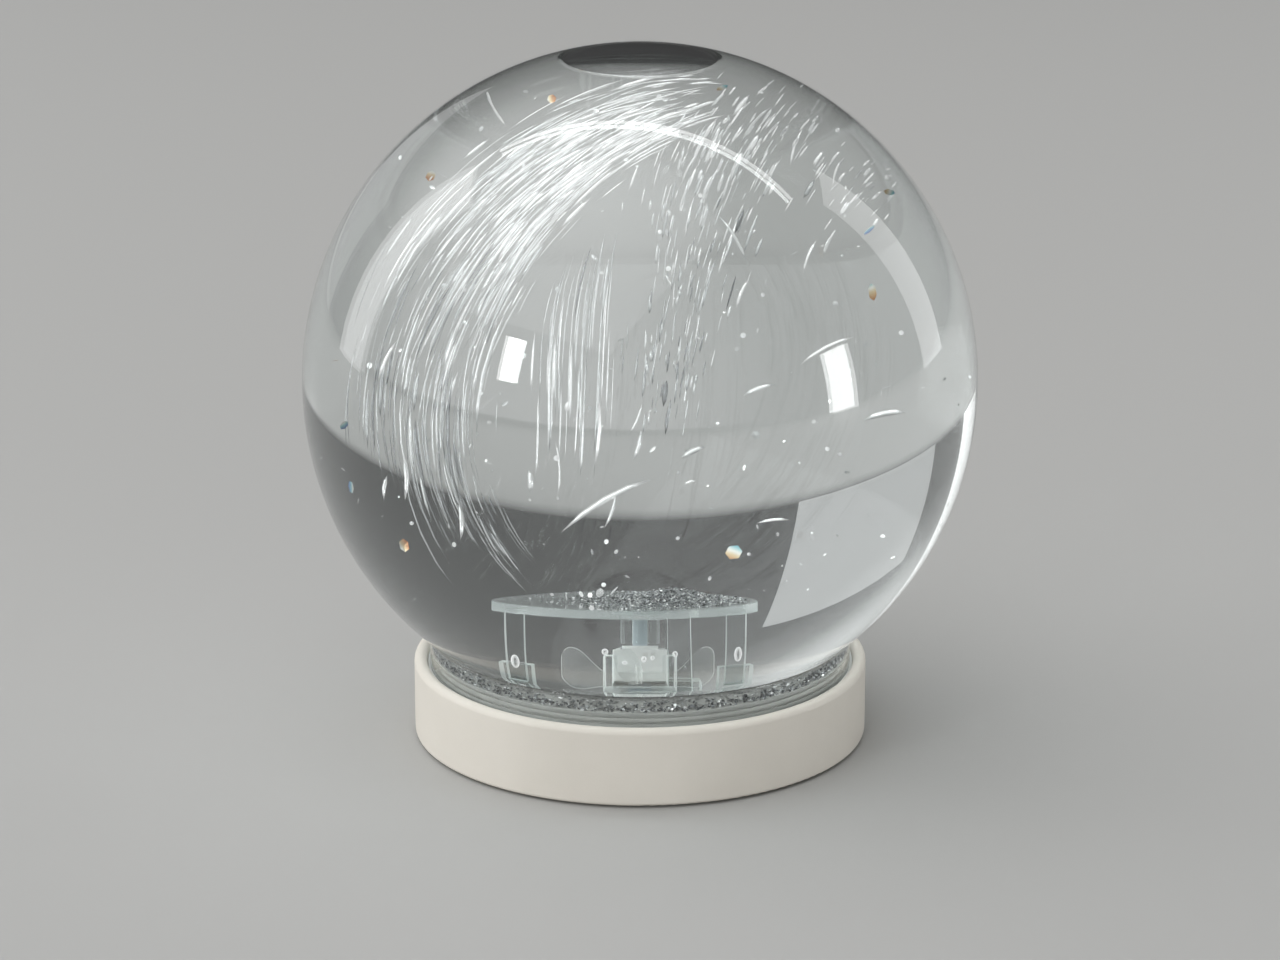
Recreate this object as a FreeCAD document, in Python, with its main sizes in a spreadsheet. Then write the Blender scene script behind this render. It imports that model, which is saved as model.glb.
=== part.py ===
import FreeCAD, Part
import math
import os

import Sketcher
from FreeCAD import Placement, Rotation, Vector

# Snow globe with a magnet-driven stirrer, standing upright on its base.
# Frame: origin at the centre of the resting face, +Z up, millimetres.
# A clear globe with a short wide neck is closed by a stopper and stands in a low round base.
# In the liquid, a clear platform on three posts carries the upper bearing of an impeller.
# A motor in the base turns a pair of magnets under the stopper, and the impeller follows them.

doc = FreeCAD.newDocument("snow_globe")
sheet = doc.addObject("Spreadsheet::Sheet", "Sizes")


class Size:
    """A number together with the sheet expression that gives it, so that both stay in step."""

    def __init__(self, value, text):
        self.value = value
        self.text = text

    def __add__(self, other):
        other = sized(other)
        return Size(self.value + other.value, f"({self.text} + {other.text})")

    def __radd__(self, other):
        return sized(other) + self

    def __sub__(self, other):
        other = sized(other)
        return Size(self.value - other.value, f"({self.text} - {other.text})")

    def __rsub__(self, other):
        return sized(other) - self

    def __mul__(self, other):
        other = sized(other)
        return Size(self.value * other.value, f"({self.text} * {other.text})")

    def __rmul__(self, other):
        return sized(other) * self

    def __truediv__(self, other):
        other = sized(other)
        return Size(self.value / other.value, f"({self.text} / {other.text})")

    def __neg__(self):
        return Size(-self.value, f"(0 - {self.text})")


def sized(number):
    """Lets plain numbers take part in sums with sizes."""
    return number if isinstance(number, Size) else Size(number, repr(number))


def leg(hypotenuse, other_leg):
    """The third side of a right-angled triangle."""
    value = math.sqrt(hypotenuse.value**2 - other_leg.value**2)
    return Size(value, f"sqrt({hypotenuse.text}^2 - {other_leg.text}^2)")


# ---------------------------------------------------------------- driving dimensions
# The globe and its neck.
globe_radius = 75.0
globe_wall = 2.4
neck_radius = 47.6
neck_length = 8.64
neck_blend = 2.0
bubble_radius = 19.4

# The stopper, its floor and the hub seat.
stopper_gap = 0.1
stopper_floor = 2.0
trench_width = 2.5
flank_width = 18.4
trench_rise = 4.7
floor_rise = 13.9
plateau_round = 1.2
groove_depth = 0.6
groove_width = 0.7
hub_seat_radius = 6.45
hub_seat_height = 4.3
hub_seat_shift = 1.6

# The platform, its posts and sockets.
platform_radius = 19.4
platform_thickness = 1.6
platform_rise = 18.9
platform_shift = -2.25
post_width = 3.0
post_depth = 2.0
post_inset = 2.05
side_post_angle = 15.0
rear_post_angle = 65.0
socket_width = 5.2
socket_height = 8.7
socket_floor = 5.0
socket_flare = 1.0
glue_gap = 0.05

# The impeller and its bearings.
pin_radius = 1.08
running_gap = 0.06
end_gap = 0.3
sleeve_radius = 2.85
sleeve_flange = 4.2
sleeve_flange_thickness = 0.8
hub_radius = 1.7
hub_length = 1.9
pivot_radius = 0.7
pivot_length = 0.7
case_width = 7.8
case_height = 5.4
case_edge = 0.5
collar_radius = 2.65
collar_height = 0.6
magnet_wall = 0.22
magnet_length = 3.0
magnet_cover = 0.25
clip_wall = 1.25
clip_height = 4.5
clip_lip = 1.6
vane_clearance = 6.2
vane_height = 6.4
vane_thickness = 0.8
vane_twist = 10.0
vane_sweep = 3.6

# The base.
foot_proud = 0.5
base_height = 17.6
base_wall = 3.0
rim_groove = 0.6
rim_round = 1.4
base_edge_round = 0.8
deck_thickness = 1.4
gasket_thickness = 0.8
gasket_gap = 0.1
plate_recess = 0.4
plate_thickness = 1.4
plate_gap = 0.2
pad_radius = 3.6
pad_inset = 2.6
boss_radius = 3.0
boss_inset = 2.0

# The motor and the magnet carrier.
motor_allowance = 0.15
motor_cap_height = 1.6
motor_nose_radius = 3.0
motor_nose_height = 1.2
motor_fit = 0.2
shaft_radius = 1.0
shaft_grip = 0.4
retainer_land = 3.4
retainer_edge = 2.7
retainer_thickness = 1.0
carrier_radius = 4.7
carrier_stem_radius = 2.6
carrier_head_height = 4.4
drive_magnet_radius = 1.5
drive_magnet_length = 3.0
drive_magnet_cover = 0.6

# The cells, their bay and its door.
cell_allowance = 0.43
cell_end_room = 4.5
cell_nub_radius = 1.9
cell_nub_length = 0.8
cell_lift = 0.2
cell_gap = 0.5
bay_clearance = 0.35
bay_wall = 1.2
spring_room = 3.2
spring_strip = 0.35
contact_thickness = 0.4
door_margin = 1.5
door_thickness = 1.2
door_gap = 0.3
hook_width = 6.0
hook_spacing = 28.0
hook_reach = 1.2
hook_thickness = 1.0

# The switch, the board, the screws and the leads.
switch_inset = 18.2
switch_length = 8.6
switch_depth = 3.8
switch_height = 3.6
knob_length = 2.4
knob_depth = 2.2
knob_travel = 2.0
knob_recess = 0.3
board_length = 20.0
board_width = 12.0
board_thickness = 1.2
board_clearance = 3.4
board_y = -4.0
board_lift = 2.4
screw_radius = 1.15
screw_head_radius = 2.3
screw_head_height = 0.9
screw_length = 6.5
screw_fit = 0.05
short_screw = 4.2
retainer_boss_radius = 2.3
retainer_boss_length = 4.0
lead_radius = 0.5
lead_run = 1.6
lead_bend = 6.0
lead_turn = 1.5


def driving(alias, number):
    """Writes one driving dimension into the sheet and returns it as a size."""
    row = driving.row
    driving.row += 1
    sheet.set(f"A{row}", alias)
    sheet.set(f"B{row}", str(number))
    sheet.setAlias(f"B{row}", alias)
    return Size(number, f"Sizes.{alias}")


driving.row = 1
for alias, number in [item for item in globals().items() if isinstance(item[1], float)]:
    globals()[alias] = driving(alias, number)

doc.recompute()

# ---------------------------------------------------------------- heights and radii worked out from them
ZERO = Size(0, "0")
base_top = foot_proud + base_height
bore_radius = neck_radius + rim_groove
base_radius = bore_radius + base_wall
pad_circle = bore_radius - pad_radius - pad_inset
boss_circle = bore_radius - boss_radius - boss_inset
switch_place = switch_inset - bore_radius
# The motor and the cells are the largest that the bore leaves room for.
motor_radius = bore_radius / 4 + motor_allowance
cell_radius = bore_radius / 10 + cell_allowance
cell_length = bore_radius - cell_end_room
plate_bottom = foot_proud + plate_recess
plate_top = plate_bottom + plate_thickness
cell_height = plate_top + cell_lift + cell_radius
deck_bottom = cell_height + cell_radius + cell_lift
deck_top = deck_bottom + deck_thickness
neck_foot = deck_top + gasket_thickness
globe_bore = globe_radius - globe_wall
neck_bore = neck_radius - globe_wall
outer_join = neck_foot + neck_length
globe_centre = outer_join + leg(globe_radius, neck_radius)
inner_join = globe_centre - leg(globe_bore, neck_bore)
liquid_level = globe_centre + leg(globe_bore, bubble_radius)
stopper_radius = neck_bore - stopper_gap
flank_foot = neck_bore - trench_width
plateau_radius = flank_foot - flank_width
trench_height = neck_foot + trench_rise
floor_height = neck_foot + floor_rise
platform_top = floor_height + platform_rise
post_circle = platform_radius - post_inset
vane_reach = post_circle - vane_clearance
hub_seat_top = floor_height + hub_seat_height
platform_bottom = platform_top - platform_thickness
hub_bottom = hub_seat_top + end_gap
case_bottom = hub_bottom + hub_length
case_top = case_bottom + case_height
collar_top = case_top + collar_height
sleeve_bottom = collar_top + end_gap
pin_top = platform_bottom - end_gap
magnet_radius = (case_width / 2 - pin_radius - magnet_wall - magnet_cover) / 2
magnet_offset = case_width / 2 - magnet_radius - magnet_cover
motor_top = deck_top
retainer_screw_circle = motor_radius + motor_fit + retainer_land
retainer_radius = retainer_screw_circle + retainer_edge
carrier_top = floor_height - stopper_floor - end_gap
shaft_top = carrier_top - carrier_head_height + shaft_grip
drive_magnet_offset = carrier_radius - drive_magnet_radius - drive_magnet_cover
cell_spacing = cell_radius * 2 + cell_gap
bay_middle = motor_radius + motor_fit + bay_wall + bay_clearance + cell_radius * 2 + cell_gap / 2
cell_reach = cell_length + cell_nub_length
bay_half = (cell_reach + spring_room + contact_thickness * 2) / 2
door_length = bay_half * 2 - door_margin
door_width = cell_spacing + cell_radius * 2 + door_margin * 0.6
lead_lane = bay_half + bay_wall + lead_turn
board_x = motor_radius + motor_fit + bay_wall + board_clearance + board_length / 2
board_bottom = plate_top + board_lift
board_top = board_bottom + board_thickness
lead_height = board_bottom + board_thickness / 2


# ---------------------------------------------------------------- modelling helpers
def bind(thing, **sizes):
    """Gives properties their values and ties them to the sheet."""
    for name, size in sizes.items():
        setattr(thing, name, sized(size).value)
        thing.setExpression(name, sized(size).text)


def place(thing, x=ZERO, y=ZERO, z=ZERO, turn=None):
    """Places a part, with its position tied to the sheet. turn is a Rotation that stays."""
    x, y, z = sized(x), sized(y), sized(z)
    thing.Placement = Placement(Vector(x.value, y.value, z.value), turn or Rotation())
    for axis, size in zip("xyz", (x, y, z)):
        thing.setExpression(f"Placement.Base.{axis}", size.text)


def new_body(label):
    body = doc.addObject("PartDesign::Body", label + "_body")
    body.Label = label
    return body


def new_sketch(body, name, role="XY_Plane", height=None, turn=None):
    """A sketch on one of its body's origin planes, lifted by height and turned about its normal."""
    sketch = body.newObject("Sketcher::SketchObject", name)
    plane = next(item for item in body.Origin.OriginFeatures if item.Role == role)
    sketch.AttachmentSupport = [(plane, "")]
    sketch.MapMode = "FlatFace"
    height = sized(0 if height is None else height)
    turn = sized(0 if turn is None else turn)
    angle = Rotation(Vector(0, 0, 1), turn.value)
    sketch.AttachmentOffset = Placement(Vector(0, 0, height.value), angle)
    sketch.setExpression("AttachmentOffset.Base.z", height.text)
    if turn.text != "0":
        sketch.setExpression("AttachmentOffset.Rotation.Angle", f"{turn.text} * 1 deg")
    return sketch


def dimension(sketch, constraint, size):
    """Adds one dimension and ties it to the sheet."""
    index = sketch.addConstraint(constraint)
    sketch.setExpression(f"Constraints[{index}]", size.text)


def pin_point(sketch, curve, end, x, y):
    """Fixes a point of the sketch at (x, y) from its origin."""
    for kind, axis, size in (("DistanceX", -2, x), ("DistanceY", -1, y)):
        size = sized(size)
        if size.text == "0":
            sketch.addConstraint(Sketcher.Constraint("PointOnObject", curve, end, axis))
        else:
            dimension(sketch, Sketcher.Constraint(kind, -1, 1, curve, end, size.value), size)


def arc_between(start, finish, radius, turns_left):
    """The short arc from start to finish. One that turns left runs counter-clockwise."""
    chord = finish - start
    side = Vector(-chord.y, chord.x, 0).normalize()
    rise = math.sqrt(max(radius**2 - (chord.Length / 2) ** 2, 0))
    centre = (start + finish) * 0.5 + side * (rise if turns_left else -rise)
    circle = Part.Circle(centre, Vector(0, 0, 1), radius)
    ends = (start, finish) if turns_left else (finish, start)
    angles = [math.atan2(point.y - centre.y, point.x - centre.x) for point in ends]
    return Part.ArcOfCircle(circle, angles[0], angles[1])


def outline(sketch, corners, closed=True):
    """Draws a line through corners. A corner is (x, y), or (x, y, radius, turns_left) after an arc."""
    corners = [tuple(sized(item) for item in corner[:3]) + tuple(corner[3:]) for corner in corners]
    points = [Vector(corner[0].value, corner[1].value, 0) for corner in corners]
    starts, ends = [], []
    first = 0 if closed else 1
    for index, corner in list(enumerate(corners))[first:]:
        start, finish = points[index - 1], points[index]
        if len(corner) == 2:
            curve = sketch.addGeometry(Part.LineSegment(start, finish))
            starts.append((curve, 1))
            ends.append((curve, 2))
        else:
            curve = sketch.addGeometry(arc_between(start, finish, corner[2].value, corner[3]))
            starts.append((curve, 1 if corner[3] else 2))
            ends.append((curve, 2 if corner[3] else 1))
    for index in range(len(ends) - first):
        nearest = starts[(index + 1) % len(starts)]
        sketch.addConstraint(Sketcher.Constraint("Coincident", *ends[index], *nearest))
    if not closed:
        pin_point(sketch, *starts[0], *corners[0])
    for (curve, end), corner in zip(ends, corners[first:]):
        pin_point(sketch, curve, end, corner[0], corner[1])
        if len(corner) == 4:
            dimension(sketch, Sketcher.Constraint("Radius", curve, corner[2].value), corner[2])


def circle(sketch, radius, x=ZERO, y=ZERO):
    x, y, radius = sized(x), sized(y), sized(radius)
    ring = Part.Circle(Vector(x.value, y.value, 0), Vector(0, 0, 1), radius.value)
    curve = sketch.addGeometry(ring)
    pin_point(sketch, curve, 3, x, y)
    dimension(sketch, Sketcher.Constraint("Radius", curve, radius.value), radius)


def rectangle(sketch, length, width, x=ZERO, y=ZERO):
    """A rectangle centred on (x, y)."""
    x, y = sized(x), sized(y)
    left, right = x - length / 2, x + length / 2
    front, back = y - width / 2, y + width / 2
    outline(sketch, [(left, front), (right, front), (right, back), (left, back)])


def turned(body, corners, name="Turned"):
    """Revolves an outline of (radius, height) corners about the vertical axis."""
    sketch = new_sketch(body, name + "Outline", "XZ_Plane")
    outline(sketch, corners)
    feature = body.newObject("PartDesign::Revolution", name)
    feature.Profile = sketch
    feature.ReferenceAxis = (sketch, ["V_Axis"])
    feature.Angle = 360
    body.Tip = feature
    return feature


def pad(body, sketch, length, name):
    feature = body.newObject("PartDesign::Pad", name)
    feature.Profile = sketch
    bind(feature, Length=length)
    body.Tip = feature
    return feature


def pocket(body, sketch, length, name, upward=False):
    """Cuts the sketch's outline downwards by length, or upwards."""
    feature = body.newObject("PartDesign::Pocket", name)
    feature.Profile = sketch
    bind(feature, Length=length)
    feature.Reversed = upward
    body.Tip = feature
    return feature


def repeat_round(body, features, count, name):
    """Repeats features evenly about the vertical axis."""
    pattern = body.newObject("PartDesign::PolarPattern", name)
    pattern.Originals = features
    axis = next(item for item in body.Origin.OriginFeatures if item.Role == "Z_Axis")
    pattern.Axis = (axis, [""])
    pattern.Angle = 360
    pattern.Occurrences = count
    body.Tip = pattern
    return pattern


def round_edges(body, chosen, radius, name):
    """Rounds those edges of the body so far for which chosen(edge) is true."""
    doc.recompute()
    base = body.Tip
    edges = [(i, edge) for i, edge in enumerate(base.Shape.Edges) if not edge.Degenerated]
    names = [f"Edge{i + 1}" for i, edge in edges if chosen(edge)]
    feature = body.newObject("PartDesign::Fillet", name)
    feature.Base = (base, names)
    bind(feature, Radius=radius)
    body.Tip = feature
    return feature


def rings_at(radius, height):
    """Chooses circular edges about the vertical axis by their radius and height."""

    def chosen(edge):
        curve = edge.Curve
        if not hasattr(curve, "Radius") or not hasattr(curve, "Center"):
            return False
        on_axis = math.hypot(curve.Center.x, curve.Center.y) < 0.01
        near = abs(curve.Radius - radius.value) < 0.02 and abs(curve.Center.z - height.value) < 0.02
        return on_axis and near

    return chosen


def cylinder(name, radius, height, x=ZERO, y=ZERO, z=ZERO, turn=None):
    part = doc.addObject("Part::Cylinder", name)
    bind(part, Radius=radius, Height=height)
    place(part, x, y, z, turn)
    return part


def box(name, length, width, height, x=ZERO, y=ZERO, z=ZERO):
    """A block centred on x and y that stands on z."""
    part = doc.addObject("Part::Box", name)
    bind(part, Length=length, Width=width, Height=height)
    place(part, sized(x) - sized(length) / 2, sized(y) - sized(width) / 2, z)
    return part


def cut(name, base, tool):
    part = doc.addObject("Part::Cut", name)
    part.Base = base
    part.Tool = tool
    return part


def fused(name, parts):
    part = doc.addObject("Part::MultiFuse", name)
    part.Shapes = parts
    return part


def grouped(label, parts):
    """Like pieces that share one node stay separate solids in a compound."""
    group = doc.addObject("Part::Compound", label + "_set")
    group.Links = parts
    group.Label = label
    return group


nodes = []


def node(label, part):
    part.Label = label
    nodes.append(part)
    return part


ALONG_X = Rotation(Vector(0, 1, 0), 90)
QUARTER_TURNS = [(1, 0), (0, 1), (-1, 0), (0, -1)]


# ---------------------------------------------------------------- the globe and its stopper
def glass_globe():
    """Blown sphere that runs into a short cylindrical neck, the same wall all over."""
    body = new_body("glass_globe")
    turned(
        body,
        [
            (ZERO, globe_centre + globe_bore),
            (neck_bore, inner_join, globe_bore, False),
            (neck_bore, neck_foot),
            (neck_radius, neck_foot),
            (neck_radius, outer_join),
            (ZERO, globe_centre + globe_radius, globe_radius, True),
        ],
    )
    round_edges(body, rings_at(neck_radius, outer_join), neck_blend, "NeckBlend")
    round_edges(body, rings_at(neck_bore, inner_join), neck_blend, "NeckInnerBlend")
    lip = rings_at(neck_radius, neck_foot)
    inner_lip = rings_at(neck_bore, neck_foot)
    lip_round = globe_wall * 0.35
    round_edges(body, lambda edge: lip(edge) or inner_lip(edge), lip_round, "Lip")
    return node("glass_globe", body)


def neck_stopper():
    """Moulded cup, open below: sealing grooves, a trench, and a sloped flank up to the scene's flat floor."""
    body = new_body("neck_stopper")
    bore = flank_foot - stopper_floor
    groove_floor = stopper_radius - groove_depth
    corners = [
        (ZERO, floor_height - stopper_floor),
        (plateau_radius, floor_height - stopper_floor),
        (bore, trench_height - stopper_floor),
        (bore, neck_foot),
        (stopper_radius, neck_foot),
    ]
    for step in (1, 3, 5):
        low = neck_foot + groove_width * step
        corners += [
            (stopper_radius, low),
            (groove_floor, low),
            (groove_floor, low + groove_width),
            (stopper_radius, low + groove_width),
        ]
    corners += [
        (stopper_radius, trench_height),
        (flank_foot, trench_height),
        (plateau_radius, floor_height),
        (ZERO, floor_height),
    ]
    turned(body, corners)
    round_edges(body, rings_at(plateau_radius, floor_height), plateau_round, "FloorEdge")
    return node("neck_stopper", body)


def hub_seat():
    """Low round disc glued to the floor, with the blind lower bearing on the motor's axis."""
    body = new_body("hub_seat")
    disc = new_sketch(body, "DiscOutline", height=floor_height)
    circle(disc, hub_seat_radius, hub_seat_shift)
    pad(body, disc, hub_seat_height, "Disc")
    bearing = new_sketch(body, "BearingOutline", height=hub_seat_top)
    circle(bearing, pivot_radius + running_gap)
    pocket(body, bearing, pivot_length, "Bearing")
    wide = hub_seat_radius.value * 0.9
    top = hub_seat_top.value
    upper_rim = lambda edge: edge.Curve.Radius > wide and abs(edge.Curve.Center.z - top) < 0.01
    round_edges(body, lambda edge: hasattr(edge.Curve, "Radius") and upper_rim(edge), case_edge, "RimEdge")
    return node("hub_seat", body)


def neck_gasket():
    """Soft ring of L section under the neck's lip and up between the neck and the base's rim."""
    body = new_body("neck_gasket")
    inside = neck_radius + gasket_gap
    outside = bore_radius - gasket_gap
    collar_end = base_top - rim_round
    turned(
        body,
        [
            (flank_foot - stopper_floor, deck_top),
            (outside, deck_top),
            (outside, collar_end),
            (inside, collar_end),
            (inside, neck_foot),
            (flank_foot - stopper_floor, neck_foot),
        ],
    )
    return node("neck_gasket", body)


# ---------------------------------------------------------------- the platform in the liquid
def post_places():
    """Where the three posts stand, each with the angle its broad side is turned to."""
    side_x = post_circle.value * math.cos(math.radians(side_post_angle.value))
    places = []
    for angle_text, angle in (
        (f"180 + {side_post_angle.text}", 180 + side_post_angle.value),
        (f"0 - {side_post_angle.text}", -side_post_angle.value),
        (rear_post_angle.text, rear_post_angle.value),
    ):
        radians = math.radians(angle)
        x = Size(post_circle.value * math.cos(radians), f"({post_circle.text} * cos({angle_text}))")
        y = Size(post_circle.value * math.sin(radians), f"({post_circle.text} * sin({angle_text}))")
        places.append((platform_shift + x, y))
    return places


def platform_disc():
    """Clear round plate cut from sheet, with lightly broken edges."""
    body = new_body("platform_disc")
    sketch = new_sketch(body, "DiscOutline", height=platform_bottom)
    circle(sketch, platform_radius, platform_shift)
    pad(body, sketch, platform_thickness, "Disc")
    edge_break = platform_thickness * 0.12
    round_edges(body, lambda edge: hasattr(edge.Curve, "Radius"), edge_break, "EdgeBreak")
    return node("platform_disc", body)


def platform_posts():
    """Three flat bars from their sockets up to the plate."""
    bottom = floor_height + socket_floor
    length = platform_bottom - bottom
    bars = []
    for index, (x, y) in enumerate(post_places()):
        bars.append(box(f"post_{index + 1}", post_width, post_depth, length, x, y, bottom))
    return node("platform_posts", grouped("platform_posts", bars))


def post_sockets():
    """Three clear sockets glued to the floor: a square block on a flared foot, with a slot on top."""
    sockets = []
    foot_width = socket_width + socket_flare * 2
    foot_height = socket_floor * 0.4
    for index, (x, y) in enumerate(post_places()):
        foot = cylinder(f"socket_foot_{index + 1}", foot_width / 2, foot_height, x, y, floor_height)
        block = box(
            f"socket_block_{index + 1}", socket_width, socket_width * 0.8, socket_height, x, y, floor_height
        )
        whole = fused(f"socket_whole_{index + 1}", [foot, block])
        slot = box(
            f"socket_slot_{index + 1}",
            post_width + glue_gap * 2,
            post_depth + glue_gap * 2,
            socket_height,
            x,
            y,
            floor_height + socket_floor,
        )
        sockets.append(cut(f"socket_{index + 1}", whole, slot))
    return node("post_sockets", grouped("post_sockets", sockets))


def bearing_sleeve():
    """Clear flanged tube under the plate, in which the impeller's pin runs."""
    body = new_body("bearing_sleeve")
    bore = pin_radius + running_gap
    flange_bottom = platform_bottom - sleeve_flange_thickness
    turned(
        body,
        [
            (bore, sleeve_bottom),
            (sleeve_radius, sleeve_bottom),
            (sleeve_radius, flange_bottom),
            (sleeve_flange, flange_bottom),
            (sleeve_flange, platform_bottom),
            (bore, platform_bottom),
        ],
    )
    return node("bearing_sleeve", body)


# ---------------------------------------------------------------- the impeller
def impeller_spindle():
    """Pin above, thicker hub and pivot below, turned in one piece."""
    body = new_body("impeller_spindle")
    pivot_bottom = hub_seat_top - pivot_length + running_gap
    turned(
        body,
        [
            (ZERO, pivot_bottom),
            (pivot_radius, pivot_bottom),
            (pivot_radius, hub_bottom),
            (hub_radius, hub_bottom),
            (hub_radius, case_bottom),
            (pin_radius, case_bottom),
            (pin_radius, pin_top),
            (ZERO, pin_top),
        ],
    )
    return node("impeller_spindle", body)


def magnet_case():
    """White block with a collar, bored for the pin, with magnet pockets from below."""
    body = new_body("magnet_case")
    block = new_sketch(body, "BlockOutline", height=case_bottom)
    rectangle(block, case_width, case_width)
    pad(body, block, case_height, "Block")
    upright = lambda edge: abs(edge.tangentAt(edge.FirstParameter).z) > 0.99
    round_edges(body, upright, case_edge, "BlockEdges")
    collar = new_sketch(body, "CollarOutline", height=case_top)
    circle(collar, collar_radius)
    pad(body, collar, collar_height, "Collar")
    bore = new_sketch(body, "BoreOutline", height=case_bottom)
    circle(bore, pin_radius)
    pocket(body, bore, case_height + collar_height, "Bore", upward=True)
    pockets = new_sketch(body, "PocketOutline", height=case_bottom)
    for side in (-1, 1):
        circle(pockets, magnet_radius + glue_gap, magnet_offset * side)
    pocket(body, pockets, magnet_length + glue_gap, "MagnetPockets", upward=True)
    notches = new_sketch(body, "NotchOutline", "XZ_Plane", height=case_width / 2 - case_edge)
    for place_across in (0.1, 0.26):
        rectangle(notches, case_edge * 1.6, case_edge * 3, case_width * place_across, case_top - case_edge * 2.6)
    pocket(body, notches, case_width, "Notches", upward=True)
    return node("magnet_case", body)


def magnets(label, radius, length, offset, bottom):
    """A pair of round magnets, one each side of the axis."""
    pair = [cylinder(f"{label}_{n}", radius, length, offset * side, ZERO, bottom) for n, side in ((1, -1), (2, 1))]
    return node(label, grouped(label, pair))


def impeller_rotor():
    """Clear clip round the magnet case, with four leaf-shaped vanes that curve away from the spin."""
    body = new_body("impeller_rotor")
    floor_thickness = hub_length * 0.6
    clip_bottom = case_bottom - floor_thickness
    room = case_width + glue_gap * 2
    clip_width = room + clip_wall * 2
    tray = new_sketch(body, "ClipOutline", height=clip_bottom)
    rectangle(tray, clip_width, clip_width)
    pad(body, tray, floor_thickness + clip_height, "Clip")
    upright = lambda edge: abs(edge.tangentAt(edge.FirstParameter).z) > 0.99
    round_edges(body, upright, clip_wall * 0.7, "ClipCorners")
    nest = new_sketch(body, "NestOutline", height=case_bottom + clip_height)
    rectangle(nest, room, room)
    pocket(body, nest, clip_height, "Nest")
    gate = new_sketch(body, "GateOutline", height=case_bottom + clip_height)
    rectangle(gate, room - clip_wall, clip_width)
    pocket(body, gate, clip_height - clip_lip, "Gates")
    hole = new_sketch(body, "HubHole", height=case_bottom)
    circle(hole, hub_radius)
    pocket(body, hole, floor_thickness, "HubPassage")
    root = clip_width / 2 - clip_wall / 2
    spread = vane_reach - root
    # Along each vane: the share of its reach, of its height, of its sweep and of its rise.
    stations = (
        (0.0, 0.34, 0.0, 0.0),
        (0.22, 0.5, 0.05, 0.2),
        (0.5, 0.86, 0.26, 0.55),
        (0.76, 1.0, 0.6, 0.85),
        (0.93, 0.8, 0.87, 1.0),
        (1.0, 0.45, 1.0, 1.0),
    )
    root_middle = clip_bottom + vane_height * 0.25
    rise = clip_bottom + vane_height * 0.62 - root_middle
    sections = []
    for number, (along, share, swept, risen) in enumerate(stations):
        name = f"VaneSection{number + 1}"
        section = new_sketch(body, name, "YZ_Plane", root + spread * along, vane_twist * swept)
        section.setExpression("AttachmentOffset.Base.x", (-vane_sweep * swept).text)
        section.setExpression("AttachmentOffset.Base.y", (root_middle + rise * risen).text)
        rectangle(section, vane_thickness, vane_height * share)
        sections.append(section)
    vane = body.newObject("PartDesign::AdditiveLoft", "Vane")
    vane.Profile = sections[0]
    vane.Sections = sections[1:]
    body.Tip = vane
    repeat_round(body, [vane], 4, "Vanes")
    return node("impeller_rotor", body)


# ---------------------------------------------------------------- the base
def base_ring():
    """Matt moulded ring with a rounded rim, a deck for the globe and four screw bosses below it."""
    body = new_body("base_ring")
    motor_hole = motor_radius + motor_fit
    turned(
        body,
        [
            (base_radius, foot_proud),
            (base_radius, base_top),
            (bore_radius, base_top),
            (bore_radius, deck_top),
            (motor_hole, deck_top),
            (motor_hole, deck_bottom),
            (bore_radius, deck_bottom),
            (bore_radius, foot_proud),
        ],
    )
    outer_rim = rings_at(base_radius, base_top)
    inner_rim = rings_at(bore_radius, base_top)
    round_edges(body, lambda edge: outer_rim(edge) or inner_rim(edge), rim_round, "Rim")
    round_edges(body, rings_at(base_radius, foot_proud), base_edge_round, "FootEdge")
    slant = boss_circle * 0.70711
    boss = new_sketch(body, "BossOutline", height=plate_top)
    circle(boss, boss_radius, slant, slant)
    boss_pad = pad(body, boss, deck_bottom - plate_top, "Boss")
    pilot = new_sketch(body, "PilotOutline", height=plate_top)
    circle(pilot, screw_radius + screw_fit, slant, slant)
    pilot_hole = pocket(body, pilot, screw_length, "Pilot", upward=True)
    repeat_round(body, [boss_pad, pilot_hole], 4, "Bosses")
    small = new_sketch(body, "SmallBossOutline", height=deck_bottom - retainer_boss_length)
    circle(small, retainer_boss_radius, ZERO, -retainer_screw_circle)
    small_pad = pad(body, small, retainer_boss_length, "SmallBoss")
    small_pilot = new_sketch(body, "SmallPilotOutline", height=deck_top)
    circle(small_pilot, screw_radius + screw_fit, ZERO, -retainer_screw_circle)
    small_hole = pocket(body, small_pilot, short_screw, "SmallPilot")
    repeat_round(body, [small_pad, small_hole], 3, "SmallBosses")
    return node("base_ring", body)


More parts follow.
